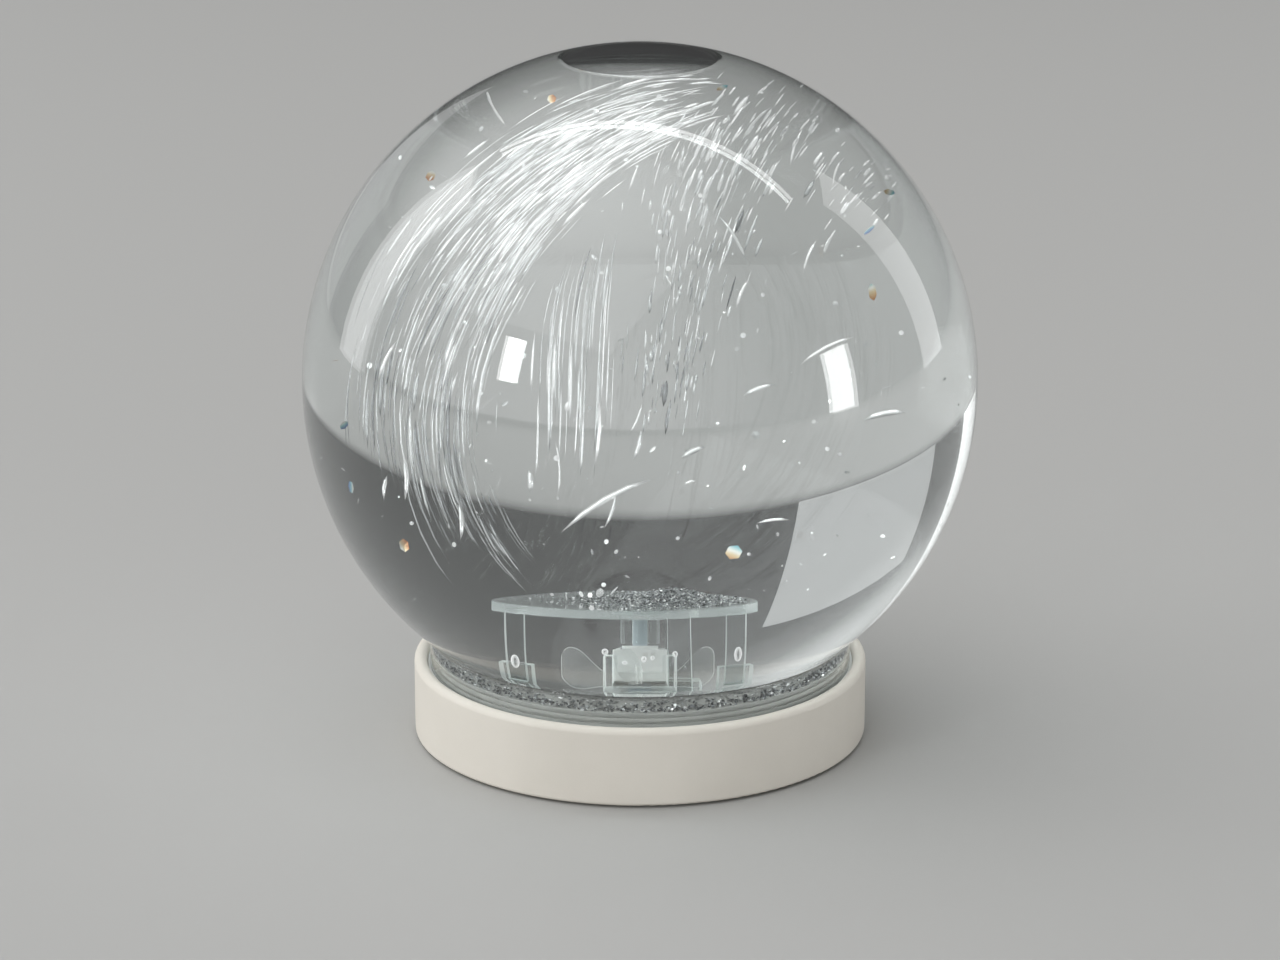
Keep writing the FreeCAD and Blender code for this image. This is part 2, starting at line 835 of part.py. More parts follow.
def base_plate():
    """Cover screwed under the base, with the battery bay, the motor's cradle and the switch's slot."""
    body = new_body("base_plate")
    disc = new_sketch(body, "PlateOutline", height=plate_bottom)
    circle(disc, bore_radius - plate_gap)
    pad(body, disc, plate_thickness, "Plate")
    cradle = new_sketch(body, "CradleOutline", height=plate_top)
    circle(cradle, motor_radius + motor_fit)
    circle(cradle, motor_radius + motor_fit + bay_wall)
    pad(body, cradle, motor_radius * 0.26, "MotorCradle")
    ends = new_sketch(body, "BayEndOutline", height=plate_top)
    wall_room = cell_spacing + cell_radius * 2
    for side in (-1, 1):
        rectangle(ends, bay_wall, wall_room, (bay_half + bay_wall / 2) * side, bay_middle)
    pad(body, ends, cell_radius * 1.9, "BayEnds")
    passage = new_sketch(body, "LeadPassage", "YZ_Plane", height=-bay_half - bay_wall)
    for y in battery_lead_places():
        circle(passage, lead_radius + glue_gap * 2, y, lead_height)
    pocket(body, passage, bay_wall, "LeadHoles", upward=True)
    opening = new_sketch(body, "DoorOpening", height=plate_top)
    rectangle(opening, door_length + door_gap * 2, door_width + door_gap * 2, ZERO, bay_middle)
    pocket(body, opening, plate_thickness, "DoorCut")
    slot = new_sketch(body, "SwitchSlot", height=plate_top)
    slot_length = knob_length + knob_travel + door_gap * 2
    rectangle(slot, slot_length, knob_depth + door_gap * 2, -knob_travel / 2, switch_place)
    pocket(body, slot, plate_thickness, "SwitchCut")
    slant = boss_circle * 0.70711
    hole = new_sketch(body, "ScrewHole", height=plate_top)
    circle(hole, screw_radius + screw_fit, slant, slant)
    hole_cut = pocket(body, hole, plate_thickness, "ScrewCut")
    recess = new_sketch(body, "HeadRecess", height=plate_bottom)
    circle(recess, screw_head_radius + screw_fit, slant, slant)
    recess_cut = pocket(body, recess, screw_head_height, "HeadCut", upward=True)
    repeat_round(body, [hole_cut, recess_cut], 4, "ScrewHoles")
    return node("base_plate", body)


def screw(name, x, y, underhead, length, upward=True, head=screw_head_height):
    """Pan-head screw. underhead is the height of the face under its head, which the shank leaves."""
    if upward:
        cap = cylinder(name + "_head", screw_head_radius, head, x, y, underhead - head)
        shank = cylinder(name + "_shank", screw_radius, length, x, y, underhead)
    else:
        cap = cylinder(name + "_head", screw_head_radius, head, x, y, underhead)
        shank = cylinder(name + "_shank", screw_radius, length, x, y, underhead - length)
    return fused(name, [cap, shank])


def base_screws():
    """Four screws through the plate into the ring's bosses."""
    slant = boss_circle * 0.70711
    screws = []
    length = plate_top - plate_bottom - screw_head_height + screw_length * 0.9
    for number, (side_x, side_y) in enumerate(((1, 1), (-1, 1), (-1, -1), (1, -1))):
        place_here = (slant * side_x, slant * side_y)
        screws.append(screw(f"base_screw_{number + 1}", *place_here, plate_bottom + screw_head_height, length))
    return node("base_screws", grouped("base_screws", screws))


def foot_pads():
    """Four round soft pads under the plate, on which the globe stands."""
    pads = []
    for number, (side_x, side_y) in enumerate(QUARTER_TURNS):
        x, y = pad_circle * side_x, pad_circle * side_y
        pads.append(cylinder(f"foot_pad_{number + 1}", pad_radius, plate_bottom, x, y))
    return node("foot_pads", grouped("foot_pads", pads))


# ---------------------------------------------------------------- motor and magnetic drive
def motor_can():
    """Flat drawn steel can with its bearing nose on top, open below for the end cap."""
    body = new_body("motor_can")
    wall = contact_thickness * 2
    cap_top = plate_top + motor_cap_height
    shaft_hole = shaft_radius + running_gap
    turned(
        body,
        [
            (shaft_hole, motor_top - wall),
            (motor_radius - wall, motor_top - wall),
            (motor_radius - wall, cap_top),
            (motor_radius, cap_top),
            (motor_radius, motor_top),
            (motor_nose_radius, motor_top),
            (motor_nose_radius, motor_top + motor_nose_height),
            (shaft_hole, motor_top + motor_nose_height),
        ],
    )
    round_edges(body, rings_at(motor_radius, motor_top), wall, "CanEdge")
    return node("motor_can", body)


def motor_end_cap():
    """Moulded end cap that closes the can below, with a blind bearing for the shaft."""
    body = new_body("motor_end_cap")
    shaft_hole = shaft_radius + running_gap
    cap_top = plate_top + motor_cap_height
    turned(
        body,
        [
            (ZERO, plate_top),
            (motor_radius, plate_top),
            (motor_radius, cap_top),
            (shaft_hole, cap_top),
            (shaft_hole, plate_top + contact_thickness),
            (ZERO, plate_top + contact_thickness),
        ],
    )
    return node("motor_end_cap", body)


def motor_armature():
    """Wound core on the shaft, drawn as its turned envelope."""
    body = new_body("motor_armature")
    low = plate_top + motor_cap_height + end_gap * 2
    high = motor_top - contact_thickness * 2 - end_gap * 2
    turned(
        body,
        [
            (shaft_radius, low),
            (motor_radius * 0.72, low),
            (motor_radius * 0.72, high),
            (shaft_radius, high),
        ],
    )
    return node("motor_armature", body)


def motor_shaft():
    """Steel shaft from the end cap's bearing up into the magnet carrier."""
    bottom = plate_top + contact_thickness + running_gap
    part = cylinder("motor_shaft_rod", shaft_radius, shaft_top - bottom, ZERO, ZERO, bottom)
    return node("motor_shaft", part)


def magnet_carrier():
    """Stepped moulding pushed on the shaft. Its head turns inside the hub seat."""
    body = new_body("magnet_carrier")
    head_top = carrier_top
    head_bottom = head_top - carrier_head_height
    stem_bottom = motor_top + motor_nose_height + end_gap
    turned(
        body,
        [
            (ZERO, shaft_top),
            (shaft_radius, shaft_top),
            (shaft_radius, stem_bottom),
            (carrier_stem_radius, stem_bottom),
            (carrier_stem_radius, head_bottom),
            (carrier_radius, head_bottom),
            (carrier_radius, head_top),
            (ZERO, head_top),
        ],
    )
    pockets = new_sketch(body, "PocketOutline", height=head_top)
    for side in (-1, 1):
        circle(pockets, drive_magnet_radius + glue_gap, drive_magnet_offset * side)
    pocket(body, pockets, drive_magnet_length, "MagnetPockets")
    return node("magnet_carrier", body)


def motor_retainer():
    """Flat ring on the deck that holds the motor down at its nose."""
    body = new_body("motor_retainer")
    sketch = new_sketch(body, "RetainerOutline", height=motor_top)
    circle(sketch, retainer_radius)
    circle(sketch, motor_nose_radius + motor_fit)
    pad(body, sketch, retainer_thickness, "Ring")
    hole = new_sketch(body, "ScrewHole", height=motor_top)
    circle(hole, screw_radius + screw_fit, ZERO, -retainer_screw_circle)
    hole_cut = pocket(body, hole, retainer_thickness, "ScrewCut", upward=True)
    repeat_round(body, [hole_cut], 3, "ScrewHoles")
    return node("motor_retainer", body)


def retainer_screws():
    """Three short screws through the retainer into the deck's small bosses."""
    underhead = motor_top + retainer_thickness
    length = retainer_thickness + short_screw * 0.9
    places = (
        (ZERO, -retainer_screw_circle),
        (retainer_screw_circle * 0.8660254, retainer_screw_circle / 2),
        (-retainer_screw_circle * 0.8660254, retainer_screw_circle / 2),
    )
    screws = []
    for number, (x, y) in enumerate(places):
        screws.append(screw(f"retainer_screw_{number + 1}", x, y, underhead, length, upward=False))
    return node("retainer_screws", grouped("retainer_screws", screws))


# ---------------------------------------------------------------- batteries
def battery_cells():
    """Two round cells side by side, the second turned end for end."""
    for number, side in ((1, -1), (2, 1)):
        y = bay_middle + cell_spacing * side / 2
        can_end = -bay_half + contact_thickness if side < 0 else bay_half - contact_thickness
        turn = ALONG_X if side < 0 else Rotation(Vector(0, 1, 0), -90)
        nub_base = can_end + cell_nub_length * (1 if side < 0 else -1)
        nub = cylinder(f"cell_nub_{number}", cell_nub_radius, cell_nub_length, can_end, y, cell_height, turn)
        can = cylinder(f"cell_can_{number}", cell_radius, cell_length, nub_base, y, cell_height, turn)
        node(f"battery_cell_{number}", fused(f"cell_{number}", [nub, can]))


def battery_contacts():
    """Nickel plates on the bay's end walls: two single ones and one that joins the cells."""
    plates = []
    tall = cell_radius * 1.5
    wide = cell_radius * 1.6
    low = plate_top + cell_lift * 2
    left = -bay_half + contact_thickness / 2
    right = bay_half - contact_thickness / 2
    plates.append(box("contact_joined", contact_thickness, cell_spacing + wide, tall, right, bay_middle, low))
    for number, side in ((1, -1), (2, 1)):
        y = bay_middle + cell_spacing * side / 2
        plates.append(box(f"contact_{number}", contact_thickness, wide, tall, left, y, low))
    return node("battery_contacts", grouped("battery_contacts", plates))


def battery_springs():
    """Bowed leaf springs of strip that press on the flat ends of the cells."""
    springs = []
    strip = spring_strip
    wide = cell_radius * 0.7
    foot = wide * 0.7
    crest = wide * 0.25
    slack = strip * 0.6
    for number, side in ((1, -1), (2, 1)):
        out = 1 if side < 0 else -1
        back = (bay_half - contact_thickness) * out
        front = back - spring_room * out
        middle = bay_middle + cell_spacing * side / 2
        leaf = new_body(f"spring_{number}")
        bow = new_sketch(leaf, "BowOutline", height=cell_height - crest * 2)
        outline(
            bow,
            [
                (back, middle - wide),
                (back, middle - foot),
                (front + strip * out, middle - crest),
                (front + strip * out, middle + crest),
                (back, middle + foot),
                (back, middle + wide),
                (back - strip * out, middle + wide),
                (back - strip * out, middle + foot + slack),
                (front, middle + crest + slack),
                (front, middle - crest - slack),
                (back - strip * out, middle - foot - slack),
                (back - strip * out, middle - wide),
            ],
        )
        pad(leaf, bow, crest * 4, "Bow")
        springs.append(leaf)
    return node("battery_springs", grouped("battery_springs", springs))


def battery_door():
    """Flush cover with two hooks on its outer edge and grip grooves near its inner edge."""
    body = new_body("battery_door")
    panel = new_sketch(body, "PanelOutline", height=plate_bottom)
    rectangle(panel, door_length, door_width, ZERO, bay_middle)
    pad(body, panel, door_thickness, "Panel")
    outer_edge = bay_middle + door_width / 2
    hook_bottom = plate_top + running_gap
    stems = new_sketch(body, "HookStemOutline", height=plate_bottom)
    tabs = new_sketch(body, "HookTabOutline", height=hook_bottom)
    for side in (-1, 1):
        x = hook_spacing * side / 2
        rectangle(stems, hook_width, hook_thickness, x, outer_edge - hook_thickness / 2)
        tab = hook_thickness + door_gap + hook_reach
        rectangle(tabs, hook_width, tab, x, outer_edge - hook_thickness + tab / 2)
    pad(body, stems, hook_bottom - plate_bottom + hook_thickness, "HookStems")
    pad(body, tabs, hook_thickness, "HookTabs")
    grooves = new_sketch(body, "GripOutline", height=plate_bottom)
    for step in (1, 2, 3):
        grip_y = bay_middle - door_width / 2 + hook_thickness * 1.6 * step
        rectangle(grooves, hook_width * 2, hook_thickness * 0.7, ZERO, grip_y)
    pocket(body, grooves, door_thickness * 0.35, "Grip", upward=True)
    return node("battery_door", body)


# ---------------------------------------------------------------- switch and circuit
def switch_body():
    """Small slide switch that lies on the plate over its slot."""
    body = new_body("switch_body")
    block = new_sketch(body, "SwitchOutline", height=plate_top)
    rectangle(block, switch_length, switch_depth, -knob_travel / 2, switch_place)
    pad(body, block, switch_height, "Case")
    track = new_sketch(body, "TrackOutline", height=plate_top)
    track_length = knob_length + knob_travel + door_gap
    rectangle(track, track_length, knob_depth + door_gap, -knob_travel / 2, switch_place)
    pocket(body, track, switch_height * 0.4, "Track", upward=True)
    return node("switch_body", body)


def switch_knob():
    """Sliding knob that reaches down through the plate and stays clear of the table."""
    low = plate_bottom + knob_recess
    tall = plate_top + switch_height * 0.4 - running_gap - low
    return node("switch_knob", box("knob", knob_length, knob_depth, tall, ZERO, switch_place, low))


def circuit_board():
    """Board on two moulded pillars, with its driver chip and capacitor as separate pieces."""
    board = box("board_sheet", board_length, board_width, board_thickness, board_x, board_y, board_bottom)
    node("circuit_board", board)
    pillars = []
    for number, side in ((1, -1), (2, 1)):
        x = board_x + board_length * 0.36 * side
        pillars.append(cylinder(f"pillar_{number}", hub_radius, board_lift, x, board_y, plate_top))
    node("board_pillars", grouped("board_pillars", pillars))
    chip = box("chip", board_width * 0.4, board_width * 0.32, board_thickness, board_x, board_y, board_top)
    tall = board_lift * 1.2
    capacitor = cylinder("capacitor", hub_radius, tall, board_x + board_length * 0.34, board_y, board_top)
    node("board_components", grouped("board_components", [chip, capacitor]))


# ---------------------------------------------------------------- leads
def lead(name, height, start, bends, finish):
    """A round lead at one height. It leaves start along X; bends are (x, y, radius) square corners."""
    body = new_body(name)
    stops = [tuple(sized(item) for item in stop) for stop in (start, *bends, finish)]
    corners = [stops[0]]
    for before, bend, after in zip(stops, stops[1:], stops[2:]):
        came = (direction(before[0], bend[0]), direction(before[1], bend[1]))
        goes = (direction(bend[0], after[0]), direction(bend[1], after[1]))
        x, y, radius = bend
        turns_left = came[0] * goes[1] - came[1] * goes[0] > 0
        corners.append((x - radius * came[0], y - radius * came[1]))
        corners.append((x + radius * goes[0], y + radius * goes[1], radius, turns_left))
    corners.append(stops[-1])
    path = new_sketch(body, "Path", height=height)
    outline(path, corners, closed=False)
    section = new_sketch(body, "Section", "YZ_Plane", stops[0][0])
    circle(section, lead_radius, stops[0][1], height)
    pipe = body.newObject("PartDesign::AdditivePipe", "Pipe")
    pipe.Profile = section
    pipe.Spine = (path, [])
    body.Tip = pipe
    return body


def direction(before, after):
    """Which way a size goes along one axis: -1, 0 or 1."""
    step = after.value - before.value
    return 0 if abs(step) < 0.01 else int(math.copysign(1, step))


def battery_lead_places():
    """Where the two battery leads pass the bay's end wall."""
    return (bay_middle - cell_spacing / 2, bay_middle + cell_spacing * 0.2)


def battery_leads():
    """From one cell's contact to the board, and from the other's along the next lane to the switch."""
    inner_y, outer_y = battery_lead_places()
    outer_lane = -lead_lane - lead_run
    board_end = (board_x - board_length * 0.42, board_y - board_width / 2)
    across = -lead_lane * 0.72
    to_board = lead(
        "lead_battery_board",
        lead_height,
        (-bay_half, inner_y),
        [(-lead_lane, inner_y, lead_turn), (-lead_lane, across, lead_bend), (board_end[0], across, lead_turn * 2)],
        board_end,
    )
    to_switch = lead(
        "lead_battery_switch",
        lead_height,
        (-bay_half, outer_y),
        [(outer_lane, outer_y, lead_turn), (outer_lane, switch_place, lead_bend * 1.3)],
        (-knob_travel / 2 - switch_length / 2, switch_place),
    )
    return node("battery_leads", grouped("battery_leads", [to_board, to_switch]))


def switch_lead():
    """From the switch to the board."""
    x = board_x - board_length * 0.12
    start = (switch_length / 2 - knob_travel / 2, switch_place)
    finish = (x, board_y - board_width / 2)
    return node("switch_lead", lead("lead_switch", lead_height, start, [(x, switch_place, lead_bend)], finish))


def motor_leads():
    """Two leads from the top of the board to the side of the motor's can."""
    height = board_top + lead_radius
    board_edge = board_x - board_length / 2
    middle = (board_edge + motor_radius) / 2 + lead_radius
    leads = []
    for number, near, far in ((1, -0.36, -0.12), (2, 0.12, 0.36)):
        y_board = board_y + board_width * near
        y_motor = board_y + board_width * far
        off_axis = Size(
            max(abs(y_motor.value) - lead_radius.value, 0),
            f"max(abs({y_motor.text}) - {lead_radius.text}; 0)",
        )
        end = leg(motor_radius, off_axis)
        start = (board_edge + board_length * 0.12, y_board)
        bends = [(middle, y_board, lead_turn * 0.8), (middle, y_motor, lead_turn * 0.8)]
        leads.append(lead(f"lead_motor_{number}", height, start, bends, (end, y_motor)))
    return node("motor_leads", grouped("motor_leads", leads))


# ---------------------------------------------------------------- the liquid
def liquid_fill():
    """The clear liquid, up to the air bubble, cut round the pieces in it and the impeller's sweep."""
    fill = new_body("fill_bulk")
    film = glue_gap
    bulb_radius = globe_bore - film
    throat = neck_bore - film
    throat_top = globe_centre - leg(bulb_radius, throat)
    surface = leg(bulb_radius, liquid_level - globe_centre)
    turned(
        fill,
        [
            (ZERO, floor_height + film),
            (plateau_radius + film, floor_height + film),
            (flank_foot + film, trench_height + film),
            (throat, trench_height + film),
            (throat, throat_top),
            (surface, liquid_level, bulb_radius, True),
            (ZERO, liquid_level),
        ],
    )
    sweep_top = collar_top + end_gap
    slab = floor_height - film
    tools = [
        cylinder("fill_sweep", vane_reach + vane_sweep / 3, sweep_top - slab, z=slab),
        cylinder("fill_sleeve", sleeve_flange + film, platform_bottom - sweep_top + film, z=sweep_top),
        cylinder(
            "fill_disc",
            platform_radius + film,
            platform_thickness + film * 2,
            platform_shift,
            ZERO,
            platform_bottom - film,
        ),
    ]
    foot_width = socket_width + socket_flare * 2 + film * 2
    for number, (x, y) in enumerate(post_places()):
        length, width = post_width + film * 2, post_depth + film * 2
        tall = platform_bottom - slab
        tools.append(box(f"fill_post_{number + 1}", length, width, tall, x, y, slab))
        tools.append(cylinder(f"fill_foot_{number + 1}", foot_width / 2, socket_height + film * 2, x, y, slab))
    return node("liquid_fill", cut("fill", fill, fused("fill_tools", tools)))


glass_globe()
neck_stopper()
hub_seat()
neck_gasket()
platform_disc()
platform_posts()
post_sockets()
bearing_sleeve()
impeller_spindle()
magnet_case()
magnets("impeller_magnets", magnet_radius, magnet_length, magnet_offset, case_bottom)
impeller_rotor()
base_ring()
base_plate()
base_screws()
foot_pads()
motor_can()
motor_end_cap()
motor_armature()
motor_shaft()
magnet_carrier()
drive_magnets_bottom = carrier_top - drive_magnet_length
magnets("drive_magnets", drive_magnet_radius, drive_magnet_length, drive_magnet_offset, drive_magnets_bottom)
motor_retainer()
retainer_screws()
battery_cells()
battery_contacts()
battery_springs()
battery_door()
switch_body()
switch_knob()
circuit_board()
battery_leads()
switch_lead()
motor_leads()
liquid_fill()

doc.recompute()

# ---------------------------------------------------------------- checks and export
for item in doc.Objects:
    for word in ("Invalid", "Error"):
        if word in item.State:
            raise RuntimeError(f"{item.Label} is {word}")

os.makedirs("parts", exist_ok=True)
for part in nodes:
    shape = part.Shape
    if shape.isNull() or not shape.isValid() or not shape.Solids:
        raise RuntimeError(f"{part.Label} has no valid solid")
    shape.exportStep(f"parts/{part.Label}.step")
    print(part.Label, len(shape.Solids), "solids", round(shape.Volume, 1), "mm3")
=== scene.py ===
import math

import bpy
import numpy as np
from mathutils import Matrix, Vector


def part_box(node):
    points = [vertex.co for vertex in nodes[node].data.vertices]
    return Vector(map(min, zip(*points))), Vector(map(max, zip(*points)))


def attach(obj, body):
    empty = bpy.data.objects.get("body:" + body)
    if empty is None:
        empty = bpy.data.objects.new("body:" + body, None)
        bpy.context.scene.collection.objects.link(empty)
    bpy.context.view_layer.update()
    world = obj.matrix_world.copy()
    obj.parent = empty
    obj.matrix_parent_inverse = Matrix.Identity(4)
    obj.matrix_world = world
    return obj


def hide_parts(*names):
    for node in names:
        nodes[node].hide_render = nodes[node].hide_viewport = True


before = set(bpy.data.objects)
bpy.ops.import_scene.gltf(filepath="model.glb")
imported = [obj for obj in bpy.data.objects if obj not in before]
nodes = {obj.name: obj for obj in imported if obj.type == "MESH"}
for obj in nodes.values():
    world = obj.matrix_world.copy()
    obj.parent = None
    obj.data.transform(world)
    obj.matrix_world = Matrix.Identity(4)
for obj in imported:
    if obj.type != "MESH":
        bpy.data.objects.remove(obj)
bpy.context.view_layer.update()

# ---------------------------------------------------------------- base ring
# The low round base: one matt warm-white moulding with a full-round rim, which the globe's neck drops into.
# Its skin has a very fine sprayed texture and faint cloudy patches.


class Wire:
    """A value inside a material. Sums and products of wires add the Math nodes that they stand for."""

    def __init__(self, tree, socket):
        self.tree = tree
        self.socket = socket

    def joined(self, operation, first, second):
        made = self.tree.nodes.new("ShaderNodeMath")
        made.operation = operation
        for socket, item in zip(made.inputs, (first, second)):
            if isinstance(item, Wire):
                self.tree.links.new(item.socket, socket)
            else:
                socket.default_value = item
        return Wire(self.tree, made.outputs[0])

    def __add__(self, other):
        return self.joined("ADD", self, other)

    def __sub__(self, other):
        return self.joined("SUBTRACT", self, other)

    def __rsub__(self, other):
        return self.joined("SUBTRACT", other, self)

    def __mul__(self, other):
        return self.joined("MULTIPLY", self, other)

    def __pow__(self, other):
        return self.joined("POWER", self, other)

    def __abs__(self):
        return self.joined("ABSOLUTE", self, 0.0)

    def __gt__(self, other):
        return self.joined("GREATER_THAN", self, other)

    __radd__ = __add__
    __rmul__ = __mul__


class Nodes:
    """The nodes of one material, or of the world."""

    def __init__(self, tree):
        self.tree = tree

    def add(self, kind, output=0, stops=(), second=None, **values):
        """Any node but Math. Lower-case words are its settings, and the others are its sockets. Stops are
        those of its colour ramp. Second goes to its second socket, which may share the first one's name."""
        made = self.tree.nodes.new("ShaderNode" + kind)
        sockets = {}
        for name, value in values.items():
            if name.islower():
                setattr(made, name, value)
            else:
                sockets[name.replace("_", " ")] = value
        for number, (position, colour) in enumerate(stops):
            ramp = made.color_ramp.elements
            stop = ramp[number] if number < 2 else ramp.new(position)
            stop.position = position
            stop.color = (*colour, 1.0)
        if second is not None:
            made.inputs[1].default_value = second
        for name, value in sockets.items():
            if isinstance(value, Wire):
                self.tree.links.new(value.socket, made.inputs[name])
            else:
                made.inputs[name].default_value = value
        return Wire(self.tree, made.outputs[output])

    def between(self, factor, first, second):
        """The surface between two, by a wire from 0 to 1."""
        mix = self.tree.nodes.new("ShaderNodeMixShader")
        for wire, socket in zip((factor, first, second), mix.inputs):
            self.tree.links.new(wire.socket, socket)
        return Wire(self.tree, mix.outputs["Shader"])


class Finish(Nodes):
    """A material round one Principled surface. Plain values sit on its own sockets."""

    def __init__(self, name, **plain):
        self.material = bpy.data.materials.new(name)
        self.material.use_nodes = True
        super().__init__(self.material.node_tree)
        self.surface = self.tree.nodes["Principled BSDF"]
        for socket, value in plain.items():
            self.surface.inputs[socket.replace("_", " ")].default_value = value
        self.shown = Wire(self.tree, self.surface.outputs["BSDF"])
        self.place = self.add("TexCoord", output="Object")

    def noise(self, scale, detail=3.0, roughness=0.5):
        return self.add("TexNoise", Vector=self.place, Scale=scale, Detail=detail, Roughness=roughness)

    def blend(self, factor, first, second):
        """A colour between two, by a wire from 0 to 1."""
        return self.add("ValToRGB", stops=((0.0, first), (1.0, second)), Fac=factor)

    def relief(self, height, strength, depth):
        """Bumps from a height wire, depth in metres."""
        return self.add("Bump", Height=height, Strength=strength, Distance=depth)

    def feed(self, **wires):
        """Gives wires to the Principled surface's own sockets."""
        for name, wire in wires.items():
            self.tree.links.new(wire.socket, self.surface.inputs[name.replace("_", " ")])
        return self

    def show(self, wire):
        """Makes a mix of surfaces the one that the material shows."""
        self.tree.links.new(wire.socket, self.tree.nodes["Material Output"].inputs["Surface"])
        return self

    def dress(self, *names):
        """Gives the finish to whole nodes of the frame."""
        for name in names:
            slots = nodes[name].data.materials
            slots.clear()
            slots.append(self.material)


def matt_moulding(name, pale, deep, roughness, grain=2600.0, grain_depth=0.00004, **plain):
    """Moulded or sprayed plastic: cloudy patches of two close tones and a fine grain."""
    finish = Finish(name, **plain)
    clouds = finish.noise(38.0, 4.0, 0.6)
    grains = finish.noise(grain, 2.0, 0.6)
    tone = clouds * 0.8 + grains * 0.2
    return finish.feed(
        Base_Color=finish.blend(tone, deep, pale),
        Roughness=roughness + (grains - 0.5) * 0.16,
        Normal=finish.relief(grains, 0.35, grain_depth),
    )


matt_moulding("base_paint", (0.88, 0.84, 0.765), (0.75, 0.71, 0.635), 0.56).dress("base_ring")
plate_plastic = matt_moulding("plate_plastic", (0.80, 0.79, 0.75), (0.68, 0.67, 0.63), 0.5)
plate_plastic.dress("base_plate", "battery_door")

# ---------------------------------------------------------------- what sits under the base
# Soft pads, steel screws and the black slide switch, all let into or stuck on the plate.
# The pads are grey rubber, slightly dusty, and the screws are bright zinc with turning marks.
rubber = Finish("pad_rubber", Roughness=0.8)
dust = rubber.noise(900.0, 4.0, 0.7)
rubber.feed(
    Base_Color=rubber.blend(dust, (0.05, 0.05, 0.05), (0.16, 0.16, 0.155)),
    Normal=rubber.relief(dust, 0.4, 0.00006),
)
rubber.dress("foot_pads")


def bright_metal(name, light, dark, roughness, marks=1500.0):
    """Plated or drawn metal: fine marks in tone and gloss."""
    finish = Finish(name, Metallic=1.0)
    fine = finish.noise(marks, 3.0, 0.65)
    broad = finish.noise(120.0, 2.0)
    return finish.feed(
        Base_Color=finish.blend(fine * 0.5 + broad * 0.5, dark, light),
        Roughness=roughness + (broad - 0.5) * 0.2,
        Normal=finish.relief(fine, 0.15, 0.00002),
    )


zinc = bright_metal("screw_zinc", (0.74, 0.73, 0.70), (0.50, 0.50, 0.49), 0.34)
zinc.dress("base_screws", "retainer_screws")
black = matt_moulding("black_plastic", (0.035, 0.035, 0.038), (0.018, 0.018, 0.02), 0.42)
black.dress("switch_body", "switch_knob", "board_components", "motor_end_cap")

# ---------------------------------------------------------------- motor, magnets and circuit
# All of this is hidden in the base: a drawn steel motor, its moulded magnet carrier, the cells
# with their contacts, and a small board with insulated leads.
MAGNETS = ("drive_magnets", "impeller_magnets")
CONTACTS = ("battery_contacts", "battery_springs")
for slot, light, dark, gloss, marks, pieces in (
    ("motor_steel", (0.72, 0.72, 0.70), (0.56, 0.56, 0.55), 0.3, 1500.0, ("motor_can", "motor_shaft")),
    ("winding_copper", (0.74, 0.38, 0.20), (0.45, 0.20, 0.09), 0.36, 2400.0, ("motor_armature",)),
    ("magnet_nickel", (0.72, 0.71, 0.68), (0.58, 0.57, 0.55), 0.2, 1500.0, MAGNETS),
    ("contact_nickel", (0.80, 0.79, 0.75), (0.62, 0.61, 0.58), 0.26, 1500.0, CONTACTS),
):
    bright_metal(slot, light, dark, gloss, marks).dress(*pieces)
for slot, pale, deep, gloss, pieces in (
    ("carrier_plastic", (0.20, 0.21, 0.23), (0.13, 0.14, 0.15), 0.45, ("magnet_carrier",)),
    ("retainer_plastic", (0.76, 0.75, 0.71), (0.64, 0.63, 0.59), 0.5, ("motor_retainer", "board_pillars")),
    ("lead_red", (0.60, 0.06, 0.05), (0.46, 0.04, 0.035), 0.4, ("battery_leads", "switch_lead")),
    ("lead_black", (0.04, 0.04, 0.045), (0.02, 0.02, 0.022), 0.4, ("motor_leads",)),
):
    matt_moulding(slot, pale, deep, gloss).dress(*pieces)
board = Finish("board_lacquer", Roughness=0.3)
tracks = board.add(
    "TexBrick", output="Fac", Vector=board.place, Scale=260.0, Mortar_Size=0.03, Mortar_Smooth=0.3
)
board.feed(
    Base_Color=board.blend(tracks, (0.02, 0.16, 0.07), (0.05, 0.30, 0.13)),
    Normal=board.relief(tracks, 0.3, 0.00005),
)
board.dress("circuit_board")
sleeve = Finish("cell_sleeve", Roughness=0.3, Metallic=0.25)
along_cell = sleeve.add("SeparateXYZ", output="X", Vector=sleeve.place) * 21.0
end_band = abs(along_cell) > 0.36
sleeve.feed(Base_Color=sleeve.blend(end_band, (0.10, 0.13, 0.17), (0.52, 0.50, 0.46)))
sleeve.dress("battery_cell_1", "battery_cell_2")

# ---------------------------------------------------------------- stopper, gasket and hub seat
# The stopper is a moulded grey plug in the globe's neck, and its raised floor carries all that stands in the
# liquid.
# Towards its rim it is painted paler: painted light on the lower flank, which lies in shade by the glass.
# The soft pale gasket fills the groove between neck and rim, and the hub seat is glued in the middle of the
# floor.
# Stopper and seat lie in the liquid, so they have next to no gloss.
IN_LIQUID = 1.0 / 1.47
stopper = Finish("stopper_grey", Roughness=0.45, IOR=1.5 * IN_LIQUID)
haze = stopper.noise(60.0, 5.0, 0.6)
pores = stopper.noise(1400.0, 3.0)
mottle = haze * 0.85 + pores * 0.15
level_place = stopper.add("VectorMath", operation="MULTIPLY", Vector=stopper.place, second=(1.0, 1.0, 0.0))
from_axis = stopper.add("VectorMath", output="Value", operation="LENGTH", Vector=level_place)
# Painted light: the flank is drawn paler from 35 to 43 mm out, where it lies in shade.
painted_light_rim = stopper.add("MapRange", Value=from_axis, From_Min=0.035, From_Max=0.043)
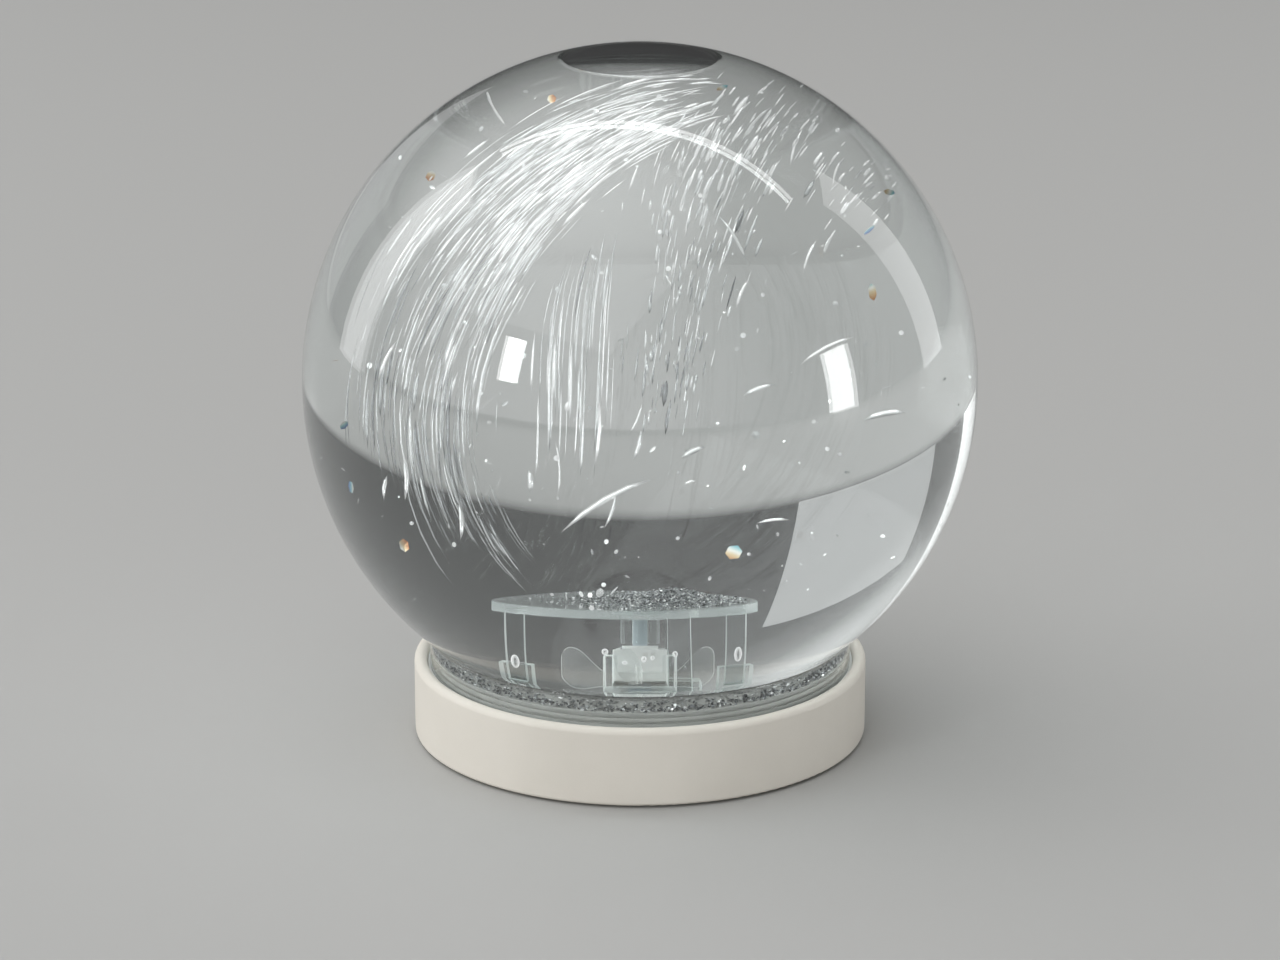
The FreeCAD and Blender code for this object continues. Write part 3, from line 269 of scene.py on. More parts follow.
stopper.feed(
    Base_Color=stopper.add(
        "Mix",
        output="Result",
        data_type="RGBA",
        Factor=painted_light_rim,
        A=stopper.blend(mottle, (0.04, 0.042, 0.04), (0.09, 0.093, 0.088)),
        B=stopper.blend(mottle, (0.38, 0.39, 0.37), (0.60, 0.61, 0.59)),
    ),
    Normal=stopper.relief(haze * 0.6 + pores * 0.4, 0.3, 0.0002),
)
stopper.dress("neck_stopper")
silicone = matt_moulding("gasket_silicone", (0.84, 0.85, 0.82), (0.72, 0.73, 0.70), 0.38, 1200.0, 0.0001)
silicone.dress("neck_gasket")
seat = matt_moulding("seat_plastic", (0.66, 0.71, 0.69), (0.52, 0.57, 0.55), 0.3, 900.0, IOR=1.5 * IN_LIQUID)
seat.dress("hub_seat")

# ---------------------------------------------------------------- impeller
# A pale blue-grey spindle carries a translucent white magnet block, held in a clear moulded clip
# with four leaf-shaped vanes. It all turns together in the liquid.


def milky_plastic(name, pale, deep, depth):
    """Slightly translucent moulding: light enters a little way, so its edges glow."""
    finish = Finish(
        name,
        Roughness=0.3,
        IOR=1.6 * IN_LIQUID,
        Subsurface_Weight=0.4,
        Subsurface_Scale=depth,
        Subsurface_Radius=(1.0, 1.0, 1.0),
    )
    swirl = finish.noise(300.0, 4.0, 0.6)
    return finish.feed(
        Base_Color=finish.blend(swirl, deep, pale),
        Normal=finish.relief(swirl, 0.2, 0.0001),
    )


milky_plastic("spindle_blue", (0.70, 0.75, 0.79), (0.56, 0.62, 0.67), 0.0008).dress("impeller_spindle")
milky_plastic("block_white", (0.95, 0.96, 0.94), (0.80, 0.82, 0.80), 0.0012).dress("magnet_case")


def clear_moulding(name, tint, roughness, ripple):
    """Clear acrylic lying in the liquid, so that only its small difference in index bends light."""
    finish = Finish(
        name,
        Base_Color=(*tint, 1.0),
        Roughness=roughness,
        IOR=1.49 * IN_LIQUID,
        Transmission_Weight=1.0,
        Coat_Weight=0.7,
        Coat_Roughness=0.04,
    )
    waves = finish.noise(260.0, 3.0, 0.55)
    return finish.feed(Normal=finish.relief(waves, ripple, 0.0003))


def painted_edge_highlight(finish, tone, power, most, least=0.0, upright=0.0, kinds=("BsdfDiffuse", "BsdfTranslucent")):
    """Painted highlight for clear pieces: a pale layer, mixed in where they are seen at a glancing angle,
    stands in for lamps reflected in their edges, so the edges show.
    Unless kinds says otherwise, the pale part takes light from both sides. Upright adds to it where the
    face is a cut edge on end."""
    share = finish.add("LayerWeight", output="Facing", Blend=0.5) ** power * most + least
    if upright:
        level = finish.add("SeparateXYZ", output="Z", Vector=finish.add("TexCoord", output="Normal"))
        share = share + (1.0 - level * level) * upright
    pale = finish.tree.nodes.new("ShaderNodeAddShader")
    for kind, socket in zip(kinds, pale.inputs):
        finish.tree.links.new(finish.add(kind, Color=(*tone, 1.0)).socket, socket)
    finish.shown = finish.between(share, finish.shown, Wire(finish.tree, pale.outputs["Shader"]))
    return finish


def let_light_in(finish, tint):
    """Shadow rays pass a clear piece, so what stands behind it in the liquid is lit."""
    through = finish.add("BsdfTransparent", Color=(*tint, 1.0))
    in_shadow = finish.add("LightPath", output="Is Shadow Ray")
    return finish.show(finish.between(in_shadow, finish.shown, through))


rotor = clear_moulding("rotor_clear", (0.95, 0.965, 0.96), 0.03, 0.25)
# Painted highlight: the clip and vanes get a pale layer on their edges where they are seen at a glancing
# angle.
painted_edge_highlight(rotor, (0.72, 0.74, 0.73), 4.5, 0.9, 0.02)
let_light_in(rotor, (0.94, 0.95, 0.95)).dress("impeller_rotor")

# ---------------------------------------------------------------- platform
# A clear acrylic disc on three clear bars, each glued in a clear socket on the floor, with a flanged
# bearing sleeve under the disc. All get painted highlights on their edges, and the disc's cut edge is
# painted paler than its faces.
sheet = clear_moulding("platform_acrylic", (0.91, 0.94, 0.935), 0.02, 0.1)
painted_edge_highlight(sheet, (0.64, 0.69, 0.68), 6.0, 0.10, upright=0.19)
let_light_in(sheet, (0.92, 0.94, 0.94)).dress("platform_disc")
turned = clear_moulding("sleeve_acrylic", (0.91, 0.94, 0.935), 0.02, 0.1)
painted_edge_highlight(turned, (0.52, 0.56, 0.55), 3.0, 0.5)
let_light_in(turned, (0.92, 0.94, 0.94)).dress("bearing_sleeve")
bars = clear_moulding("post_acrylic", (0.92, 0.94, 0.94), 0.04, 0.3)
painted_edge_highlight(bars, (0.60, 0.63, 0.62), 3.0, 0.8)
let_light_in(bars, (0.92, 0.94, 0.94)).dress("platform_posts")
glued = clear_moulding("socket_acrylic", (0.88, 0.91, 0.90), 0.08, 0.9)
painted_edge_highlight(glued, (0.55, 0.58, 0.57), 2.5, 0.8, 0.03)
let_light_in(glued, (0.90, 0.92, 0.92)).dress("post_sockets")

# ---------------------------------------------------------------- globe
# Blown clear glass: a sphere that runs into a short wide neck with a fire-polished lip.
# It is drawn as one closed wall, outside and inside, from pole to pole.
low, high = (np.array(corner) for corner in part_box("glass_globe"))
GLOBE = (high[0] - low[0]) / 2
CENTRE = high[2] - GLOBE
WALL = 0.0024
NECK = 0.0476
NECK_FOOT = low[2]
NECK_BLEND = 0.002


def arc(radius, centre_r, centre_z, start, finish, count):
    """Points on a circle: centre plus radius times (cos, sin) of angles from start to finish, in degrees."""
    angle = np.radians(np.linspace(start, finish, count))
    return np.stack([centre_r + radius * np.cos(angle), centre_z + radius * np.sin(angle)], axis=1)


def globe_side(radius, neck, blend, count):
    """Sphere side from the top pole to the neck, with a hollow blend where it meets the neck's side.
    The blend's centre is one blend radius away from both the sphere and the neck."""
    centre_r = neck + blend
    drop = -math.sqrt((radius + blend) ** 2 - centre_r**2)
    lean = math.degrees(math.atan2(drop, centre_r))
    sphere = arc(radius, 0.0, CENTRE, 90.0, lean, count)
    hollow = arc(blend, centre_r, CENTRE + drop, lean + 180.0, 180.0, 12)
    sphere[0, 0] = 0.0
    return np.concatenate([sphere, hollow[1:]])


def bore_side(radius, neck, count):
    """Inner side from the top pole to the neck, where a small round eases the step."""
    ease = 0.0012
    inwards = np.array([-0.0002, -0.0002])
    drop = -math.sqrt(radius**2 - neck**2)
    lean = math.degrees(math.atan2(drop, neck))
    sphere = arc(radius, 0.0, CENTRE, 90.0, lean + math.degrees(ease / radius), count)
    sphere[0, 0] = 0.0
    below = np.array([[neck, CENTRE + drop - ease]])
    middle = (sphere[-1] + below[0]) / 2 + inwards
    return np.concatenate([sphere, [middle], below])


def lathe(name, profile, sides):
    """Surface of revolution: (r, z) of the profile turned to (r cos a, r sin a, z) for even angles a.
    Ends on the axis become one point each. The profile runs so that its left side is outside."""
    angle = np.linspace(0.0, 2 * math.pi, sides, endpoint=False)
    body = profile[1:-1]
    rings = np.empty((len(body), sides, 3))
    rings[..., 0] = body[:, :1] * np.cos(angle)
    rings[..., 1] = body[:, :1] * np.sin(angle)
    rings[..., 2] = body[:, 1:]
    first, last = len(body) * sides, len(body) * sides + 1
    points = np.concatenate([rings.reshape(-1, 3), [[0, 0, profile[0, 1]], [0, 0, profile[-1, 1]]]])
    here = np.arange(sides)
    after = (here + 1) % sides
    row = (np.arange(len(body) - 1) * sides)[:, None]
    corners = [row + here, row + sides + here, row + sides + after, row + after]
    quads = np.stack(corners, axis=-1).reshape(-1, 4)
    bottom = (len(body) - 1) * sides
    caps = [(first, int(a), int(b)) for a, b in zip(here, after)]
    caps += [(last, bottom + int(b), bottom + int(a)) for a, b in zip(here, after)]
    mesh = bpy.data.meshes.new(name)
    mesh.from_pydata(points.tolist(), [], quads.tolist() + caps)
    mesh.polygons.foreach_set("use_smooth", np.ones(len(mesh.polygons), dtype=bool))
    mesh.update()
    made = bpy.data.objects.new(name, mesh)
    bpy.context.collection.objects.link(made)
    return made


lip = WALL / 2
outside = globe_side(GLOBE, NECK, NECK_BLEND, 150)
inside = bore_side(GLOBE - WALL, NECK - WALL, 120)
rounded_lip = arc(lip, NECK - lip, NECK_FOOT + lip, 0.0, -180.0, 14)
globe = lathe("globe_glass", np.concatenate([outside, rounded_lip, inside[::-1]]), 288)
glass = Finish(
    "globe_glass", Base_Color=(0.97, 0.985, 0.985, 1.0), Roughness=0.0, IOR=1.47, Transmission_Weight=1.0
)
waves = glass.noise(14.0, 1.0, 0.4)
glass.feed(Normal=glass.relief(waves, 0.06, 0.0006))
let_light_in(glass, (0.97, 0.98, 0.98))
globe.data.materials.append(glass.material)
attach(globe, "globe")
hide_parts("glass_globe")

# ---------------------------------------------------------------- liquid
# Clear glycerine and water that fills the globe and neck down to the stopper, with a shallow air
# bubble left at the top. Its skin lies a hair inside the glass wall, so no gap shows between them.
OVERLAP = 0.0001
STOPPER_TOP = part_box("neck_stopper")[1][2]
TRENCH = 0.0201
FLANK_FOOT = 0.0427
PLATEAU = 0.0243
EDGE_LIFT = 0.0008
MIDDLE_DIP = 0.0007
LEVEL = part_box("liquid_fill")[1][2] + EDGE_LIFT
bore = GLOBE - WALL + OVERLAP
throat = NECK - WALL + OVERLAP
lean = -math.degrees(math.acos(throat / bore))
rise = math.degrees(math.asin((LEVEL - CENTRE) / bore))
wall_side = arc(bore, 0.0, CENTRE, rise, lean, 130)
surface_edge = wall_side[0, 0]
across = np.linspace(0.0, 1.0, 28)
meniscus = np.stack([surface_edge * across, LEVEL - MIDDLE_DIP * (1.0 - across**10)], axis=1)
sunk = 0.0003
below = np.array(
    [
        [throat, TRENCH - sunk],
        [FLANK_FOOT - sunk, TRENCH - sunk],
        [PLATEAU, STOPPER_TOP - sunk],
        [0.0, STOPPER_TOP - sunk],
    ]
)
liquid = lathe("liquid", np.concatenate([meniscus[:-1], wall_side, below]), 256)
liquid.data.set_sharp_from_angle(angle=math.radians(35.0))
clear_liquid = Finish(
    "clear_liquid", Base_Color=(0.985, 0.995, 0.99, 1.0), Roughness=0.0, IOR=1.47, Transmission_Weight=1.0
)
drift = clear_liquid.noise(18.0, 2.0, 0.5)
clear_liquid.feed(Normal=clear_liquid.relief(drift, 0.03, 0.0003))
let_light_in(clear_liquid, (0.985, 0.99, 0.99))
liquid.data.materials.append(clear_liquid.material)
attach(liquid, "globe")
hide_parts("liquid_fill")

# ---------------------------------------------------------------- streaming glitter
# Slivers of silvered film carried round by the turning liquid: a dense curtain climbs the left side
# and bends over the top, long ones hang inside it, and a looser fall comes down right of the middle.
LEAN = math.radians(15.8)
NARROWING = 0.35


def place_in_globe(across, height, depth):
    """Globe point at (across, height) in globe radii on a plane leaned back by LEAN, and depth behind it."""
    back = depth * math.cos(LEAN) + height * math.sin(LEAN)
    level = height * math.cos(LEAN) - depth * math.sin(LEAN)
    return np.stack([across * GLOBE, back * GLOBE, CENTRE + level * GLOBE], axis=-1)


def streams(seed, count, sheets, span, depths, scatter, reach=(0.0, 1.0)):
    """Centre lines of count slivers between cubic sheets of the flow, inside the given reach of t, and the
    middle t of each. A sliver's sheet is a random mix of the given ones, and its line is the cubic from its
    start on. The further back it lies, the nearer it is to the globe's middle, by NARROWING."""
    chance = np.random.default_rng(seed)
    sheets = np.array(sheets)
    mix = chance.uniform(0.0, len(sheets) - 1.0001, count)
    lower = mix.astype(int)
    part = (mix - lower)[:, None, None]
    control = sheets[lower] * (1 - part) + sheets[lower + 1] * part
    length = chance.uniform(*span, count) * chance.uniform(0.5, 1.0, count)
    start = reach[0] + chance.uniform(0.0, 1.0, count) * (reach[1] - reach[0] - length)
    t = (start[:, None] + length[:, None] * np.linspace(0.0, 1.0, 5))[..., None]
    a, b, c, d = (control[:, None, number] for number in range(4))
    flat = (1 - t) ** 3 * a + 3 * (1 - t) ** 2 * t * b + 3 * (1 - t) * t**2 * c + t**3 * d
    depth = chance.uniform(*depths, count)[:, None]
    flat = flat * (1.0 - NARROWING * depth)[..., None] + chance.normal(0.0, scatter, (count, 1, 2))
    return place_in_globe(flat[..., 0], flat[..., 1], depth + np.zeros(t.shape[:2])), t[:, 2, 0]


def scattered(name, points, faces, shade):
    """One mesh of many equal shapes. Shade, from 0 to 1, is given for each shape or each of its points."""
    count, size = points.shape[:2]
    shades = np.broadcast_to(shade.reshape(count, -1), (count, size)).ravel()
    mesh = bpy.data.meshes.new(name)
    first = (np.arange(count) * size)[:, None]
    moved = [row for face in faces for row in (np.array(face) + first).tolist()]
    mesh.from_pydata(points.reshape(-1, 3).tolist(), [], moved)
    stored = mesh.attributes.new("shade", "FLOAT", "POINT")
    stored.data.foreach_set("value", shades.astype(np.float32))
    mesh.update()
    made = bpy.data.objects.new(name, mesh)
    bpy.context.collection.objects.link(made)
    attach(made, "globe")
    return made


def slivers(name, lines, widths, seed, shade):
    """Closed slivers of film: a lozenge section, twice as wide as thick, swept along each line and
    drawn to a point at both ends. Half widths follow sqrt(4 t (1 - t)) along the line."""
    chance = np.random.default_rng(seed)
    count, steps = lines.shape[:2]
    along = np.gradient(lines, axis=1)
    along /= np.linalg.norm(along, axis=2, keepdims=True)
    facing = chance.normal(size=(count, 1, 3))
    side = np.cross(along, facing)
    side /= np.linalg.norm(side, axis=2, keepdims=True)
    flat = np.cross(along, side)
    inner = slice(1, steps - 1)
    t = np.linspace(0.0, 1.0, steps)[inner]
    half = widths[:, None] * np.sqrt(4 * t * (1 - t))
    spread = half[..., None] * side[:, inner]
    thick = half[..., None] * flat[:, inner] / 2
    rings = np.stack([spread, thick, -spread, -thick], axis=2) + lines[:, inner, None]
    points = np.concatenate([lines[:, :1], rings.reshape(count, -1, 3), lines[:, -1:]], axis=1)
    corner = np.arange(4)
    after = (corner + 1) % 4
    walls = np.stack([corner, after, after + 4, corner + 4], axis=1) + 1
    walls = np.concatenate([walls + 4 * row for row in range(steps - 3)])
    last = 4 * (steps - 2) + 1
    tips = [(0, 1 + int(b), 1 + int(a)) for a, b in zip(corner, after)]
    tips += [(last, last - 4 + int(a), last - 4 + int(b)) for a, b in zip(corner, after)]
    made = scattered(name, points, walls.tolist() + tips, shade)
    made.data.polygons.foreach_set("use_smooth", np.ones(len(made.data.polygons), dtype=bool))
    return made


# Painted glints: the film glows by each sliver's shade, most on the palest, even where no lamp reaches it.
film = Finish("silver_film", Metallic=0.8, Roughness=0.22, Emission_Strength=0.3)
tone = film.add("Attribute", output="Fac", attribute_name="shade")
film.feed(
    Base_Color=film.add(
        "ValToRGB",
        stops=((0.0, (0.34, 0.35, 0.36)), (0.5, (0.84, 0.86, 0.86)), (1.0, (1.0, 1.0, 1.0))),
        Fac=tone,
    ),
    Emission_Color=film.add(
        "ValToRGB",
        stops=((0.0, (0.02, 0.02, 0.02)), (0.5, (0.35, 0.36, 0.36)), (1.0, (1.0, 1.0, 1.0))),
        Fac=tone,
    ),
)
# The sheets of the flow, each a cubic of four points (across, height) in globe radii.
OUTER = [[-0.62, -0.13], [-0.62, 0.28], [-0.27, 0.61], [0.13, 0.64]]
MIDDLE = [[-0.35, -0.41], [-0.65, 0.0], [-0.24, 0.44], [0.13, 0.58]]
INNER = [[-0.16, -0.46], [-0.53, -0.17], [-0.28, 0.34], [0.06, 0.51]]
HANGING = [
    [[-0.21, -0.24], [-0.19, -0.07], [-0.23, 0.11], [-0.15, 0.27]],
    [[-0.09, -0.20], [-0.07, -0.04], [-0.08, 0.13], [-0.05, 0.29]],
]
FALLING = [
    [[0.12, 0.58], [-0.03, 0.39], [0.03, 0.12], [-0.01, -0.10]],
    [[0.38, 0.60], [0.22, 0.40], [0.13, 0.15], [0.10, -0.10]],
]
OUTLYING = [[0.61, 0.43], [0.45, 0.33], [0.36, 0.15], [0.26, 0.0]]
SHOWERING = FALLING + [OUTLYING]


def stream_slivers(name, seed, count, sheets, span, depths, scatter, reach, widths, shades):
    """One stream: many fine slivers and few coarse ones, by the cube of a random number. Shades go from the
    first, at the start of the sheets, to the second at their end, give or take a fifth."""
    chance = np.random.default_rng(seed + 50)
    coarse = chance.uniform(0.0, 1.0, count) ** 3
    lines, middle = streams(seed, count, sheets, span, depths, scatter, reach)
    finest, coarsest = widths
    dim, bright = shades
    shade = np.clip(dim + (bright - dim) * middle + chance.normal(0.0, 0.2, count), 0.0, 1.0)
    stream = slivers(name, lines, finest + (coarsest - finest) * coarse, seed + 90, shade)
    stream.data.materials.append(film.material)


RISING = [OUTER, MIDDLE, INNER]
NEAR_AND_FAR = (-0.3, 0.22)
THROUGH = (-0.3, 0.25)
WHOLE = (0.0, 1.0)
for name, seed, count, sheets, span, depths, scatter, reach, widths, shades in (
    ("curtain", 11, 520, RISING, (0.06, 0.26), NEAR_AND_FAR, 0.02, WHOLE, (8e-5, 3.6e-4), (0.1, 1.1)),
    ("crest", 14, 260, RISING, (0.04, 0.15), NEAR_AND_FAR, 0.022, (0.5, 1.05), (1.2e-4, 4.6e-4), (0.3, 1.0)),
    ("hanging", 12, 60, HANGING, (0.30, 0.75), (-0.2, 0.2), 0.012, WHOLE, (1.1e-4, 3.2e-4), (0.7, 0.5)),
    ("falling", 13, 260, FALLING, (0.04, 0.13), THROUGH, 0.03, WHOLE, (1.2e-4, 4.0e-4), (0.9, 0.2)),
    ("shower", 15, 110, SHOWERING, (0.05, 0.11), THROUGH, 0.035, (-0.05, 0.4), (1.8e-4, 5.6e-4), (0.9, 0.5)),
):
    stream_slivers(name + "_slivers", seed, count, sheets, span, depths, scatter, reach, widths, shades)

# ---------------------------------------------------------------- loose flakes
# Larger slivers that have left the streams, most of them high and low right of the middle, and small
# six-sided flakes that drift all round them. Nearly all are cut from the same silvered film.
# A stray is (across, height) of its middle and (across, height) from there to its end, in globe radii.
STRAYS = [
    (-0.010, -0.080, -0.014, -0.032), (-0.006, -0.132, -0.008, -0.030), (0.108, -0.147, 0.025, 0.012),
    (0.101, -0.208, 0.012, 0.004), (0.273, -0.290, 0.034, 0.003), (0.508, -0.076, 0.050, 0.008),
    (0.241, -0.021, 0.033, 0.012), (0.384, 0.060, 0.058, 0.029), (-0.066, -0.255, 0.095, 0.056),
    (0.189, 0.285, 0.028, -0.048), (0.208, 0.174, 0.013, 0.031), (0.348, 0.251, 0.015, 0.036),
    (0.389, 0.278, 0.013, 0.026), (0.057, 0.200, 0.006, -0.013), (-0.061, -0.265, -0.012, -0.037),
    (0.246, 0.538, 0.038, 0.052), (0.136, 0.493, 0.031, 0.062), (0.332, 0.491, 0.019, 0.050),
    (0.419, 0.441, 0.014, 0.032), (0.103, 0.433, 0.019, 0.037), (0.152, 0.466, 0.006, 0.013),
    (0.250, 0.494, 0.008, 0.016), (0.140, 0.386, 0.014, 0.040), (0.497, 0.452, 0.014, 0.016),
    (0.375, 0.548, 0.013, 0.020), (-0.145, -0.054, 0.005, 0.012), (-0.225, -0.206, 0.001, -0.023),
    (-0.170, -0.182, 0.002, -0.059), (-0.091, -0.102, -0.004, -0.081), (-0.385, 0.054, 0.011, 0.047),
    (-0.525, 0.040, 0.021, 0.041), (-0.491, -0.204, -0.001, -0.048), (-0.537, -0.228, 0.006, 0.027),
    (-0.372, -0.290, 0.0, -0.042), (-0.287, 0.131, 0.006, 0.031), (-0.093, 0.246, 0.006, -0.008),
]
# Each stray bends sideways by BOW of its half length.
BOW = 0.12
stray = np.array(STRAYS)
step = np.linspace(-1.0, 1.0, 5)
bow = BOW * (1 - step**2)
run = stray[:, None, 2:] * step[:, None]
across = np.stack([-run[:, -1, 1], run[:, -1, 0]], axis=1)[:, None] * bow[:, None]
flat = stray[:, None, :2] + run + across
chance = np.random.default_rng(24)
strays = slivers(
    "stray_slivers",
    place_in_globe(flat[..., 0], flat[..., 1], np.zeros(flat.shape[:2])),
    chance.uniform(0.0003, 0.0006, len(stray)),
    24,
    chance.uniform(0.6, 1.0, len(stray)),
)
strays.data.materials.append(film.material)


def flakes(name, centres, sizes, seed, tilt=None, shade=None):
    """Thin six-sided flakes: a hexagon of the given size round each centre and two low peaks on its axis.
    The axis is random, or within tilt of upright."""
    chance = np.random.default_rng(seed)
    count = len(centres)
    axis = chance.normal(size=(count, 3))
    if tilt is not None:
        axis = np.array([0.0, 0.0, 1.0]) + chance.normal(0.0, tilt, (count, 3))
    axis /= np.linalg.norm(axis, axis=1, keepdims=True)
    side = np.cross(axis, chance.normal(size=(count, 3)))
    side /= np.linalg.norm(side, axis=1, keepdims=True)
    other = np.cross(axis, side)
    turn = np.arange(6) * math.pi / 3
    ring = np.cos(turn)[:, None] * side[:, None] + np.sin(turn)[:, None] * other[:, None]
    peak = axis[:, None] * 0.07
    points = np.concatenate([ring, peak, -peak], axis=1) * sizes[:, None, None] + centres[:, None]
    faces = [(a, (a + 1) % 6, 6) for a in range(6)] + [((a + 1) % 6, a, 7) for a in range(6)]
    if shade is None:
        shade = chance.uniform(0.0, 1.0, count)
    return scattered(name, points, faces, shade)


# Drifting flakes fill a thick shell of the ball, from a third of its radius to OUTERMOST, but not low down.
DRIFTING = 330
OUTERMOST = 0.86
HOLLOW = 0.15
LOWEST = -0.42
spread = chance.normal(size=(DRIFTING, 3))
spread /= np.linalg.norm(spread, axis=1, keepdims=True)
spread *= OUTERMOST * chance.uniform(HOLLOW, 1.0, (DRIFTING, 1)) ** 0.5
spread = spread[spread[:, 2] > LOWEST]
drifting = flakes(
    "drifting_flakes",
    np.array([0.0, 0.0, CENTRE]) + spread * (GLOBE - WALL),
    chance.uniform(0.00015, 0.00055, len(spread)),
    32,
    shade=chance.uniform(0.4, 1.0, len(spread)),
)
drifting.data.materials.append(film.material)

# A few flakes are painted amber on one side and blue on the other: painted colour for glints that split the
# light.
tints = Finish("painted_rainbow_film", Metallic=0.5, Roughness=0.25)
hue = tints.add("Attribute", output="Fac", attribute_name="shade")
tints.feed(
    Base_Color=tints.add(
        "ValToRGB",
        stops=(
            (0.0, (0.55, 0.22, 0.08)),
            (0.3, (0.80, 0.66, 0.42)),
            (0.5, (0.92, 0.92, 0.86)),
            (0.75, (0.30, 0.62, 0.66)),
            (1.0, (0.08, 0.16, 0.50)),
        ),
        Fac=hue,
    )
)
places = np.array(
    [(-0.189, 0.601), (-0.447, 0.435), (-0.661, 0.042), (-0.639, -0.098), (-0.633, -0.235), (-0.503, -0.353),
     (0.178, 0.632), (0.549, 0.413), (0.482, 0.315), (0.192, -0.353), (0.482, 0.182)]
)
middle_hue = np.array([0.15, 0.2, 0.3, 0.8, 0.75, 0.2, 0.5, 0.5, 0.85, 0.45, 0.3])
over_flake = np.array([1.0, 0.5, -0.5, -1.0, -0.5, 0.5, 0.0, 0.0]) * 0.4
rainbow = flakes(
    "rainbow_flakes",
    place_in_globe(places[:, 0], places[:, 1], np.zeros(len(places))),
    np.linspace(0.0009, 0.0014, len(places)),
    33,
    shade=np.clip(middle_hue[:, None] + over_flake, 0.0, 1.0),
)
rainbow.data.materials.append(tints.material)

# ---------------------------------------------------------------- settled glitter
# Flakes that have come to rest: a low heap on the platform, thickest right of its middle, and grains
# caught in the ring-shaped trench between the stopper's floor and the glass. Their tones run from near black
# to white, many of them dark.
disc_low, disc_high = (np.array(corner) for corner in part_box("platform_disc"))
DISC_X = (disc_low[0] + disc_high[0]) / 2
settled = Finish("settled_film", Metallic=0.7, Roughness=0.35)
settled_tone = settled.add("Attribute", output="Fac", attribute_name="shade")
settled.feed(
    Base_Color=settled.add(
        "ValToRGB",
        stops=(
            (0.0, (0.05, 0.055, 0.06)),
            (0.55, (0.30, 0.32, 0.33)),
            (0.75, (0.75, 0.78, 0.78)),
            (1.0, (1.0, 1.0, 1.0)),
        ),
        Fac=settled_tone,
    )
)
# The heap is highest at HEAP_TOP right of the disc's middle, and falls off over its half sizes x and y.
HEAPED = 5200
HEAP_TOP = 0.0070
HEAP_HEIGHT = 0.0021
HEAP_HALF_X = 0.0062
HEAP_HALF_Y = 0.0080
HEAP_REACH = 0.0180
chance = np.random.default_rng(41)
heap_x = chance.normal(0.0062, 0.0060, HEAPED)
heap_y = chance.normal(0.0, HEAP_HALF_Y, HEAPED)
off_top = ((heap_x - HEAP_TOP) / HEAP_HALF_X) ** 2 + (heap_y / HEAP_HALF_Y) ** 2
keep = np.hypot(heap_x, heap_y) < HEAP_REACH
heap_z = disc_high[2] + 0.0001 + HEAP_HEIGHT * np.exp(-off_top) * chance.uniform(0.0, 1.0, HEAPED)
heap = flakes(
    "heap_flakes",
    np.stack([DISC_X + heap_x, heap_y, heap_z], axis=1)[keep],
    chance.uniform(0.00010, 0.00024, HEAPED)[keep],
    42,
    0.35,
    chance.uniform(0.1, 0.95, HEAPED)[keep],
)
heap.data.materials.append(settled.material)

# Some bigger flakes stand at the left of the disc: x, y and z from the middle of its top, and size.
STANDING = [
    (-0.0084, 0.0020, 0.0006, 0.0006),
    (-0.0061, 0.0050, 0.0008, 0.0005),
    (-0.0048, 0.0060, 0.0006, 0.0004),
    (-0.0035, 0.0040, 0.0011, 0.0007),
    (-0.0014, 0.0055, 0.0013, 0.0008),
    (-0.0056, -0.0175, 0.0003, 0.0005),
    (-0.0100, 0.0080, 0.0005, 0.0003),
]
stand = np.array(STANDING)
standing = flakes(
    "standing_flakes",
    stand[:, :3] + np.array([DISC_X, 0.0, disc_high[2]]),
    stand[:, 3],
    44,
    shade=np.full(len(stand), 1.0),
)
standing.data.materials.append(film.material)

# More than half of the grains lie on the stopper's flank, ever fewer further up, and the rest in the trench.
GRAINS = 6500
ON_FLANK = 0.55
FLANK_SPREAD = 0.0034
TRENCH_INSIDE = FLANK_FOOT - 0.0008
TRENCH_OUTSIDE = NECK - WALL - 0.0003
bearing = chance.uniform(0.0, 2 * math.pi, GRAINS)
out = chance.uniform(TRENCH_INSIDE, TRENCH_OUTSIDE, GRAINS)
upward = chance.uniform(0.0, 1.0, GRAINS) < ON_FLANK
out[upward] = FLANK_FOOT - np.abs(chance.normal(0.0, FLANK_SPREAD, upward.sum()))
slope = (STOPPER_TOP - TRENCH) / (FLANK_FOOT - PLATEAU)
level = TRENCH + slope * np.maximum(FLANK_FOOT - out, 0.0) + chance.uniform(0.0001, 0.0006, GRAINS)
grains = flakes(
    "trench_grains",
    np.stack([out * np.cos(bearing), out * np.sin(bearing), level], axis=1),
    chance.uniform(0.00018, 0.00042, GRAINS),
    43,
    0.4,
    chance.uniform(0.0, 1.0, GRAINS) ** 1.8,
)
grains.data.materials.append(settled.material)

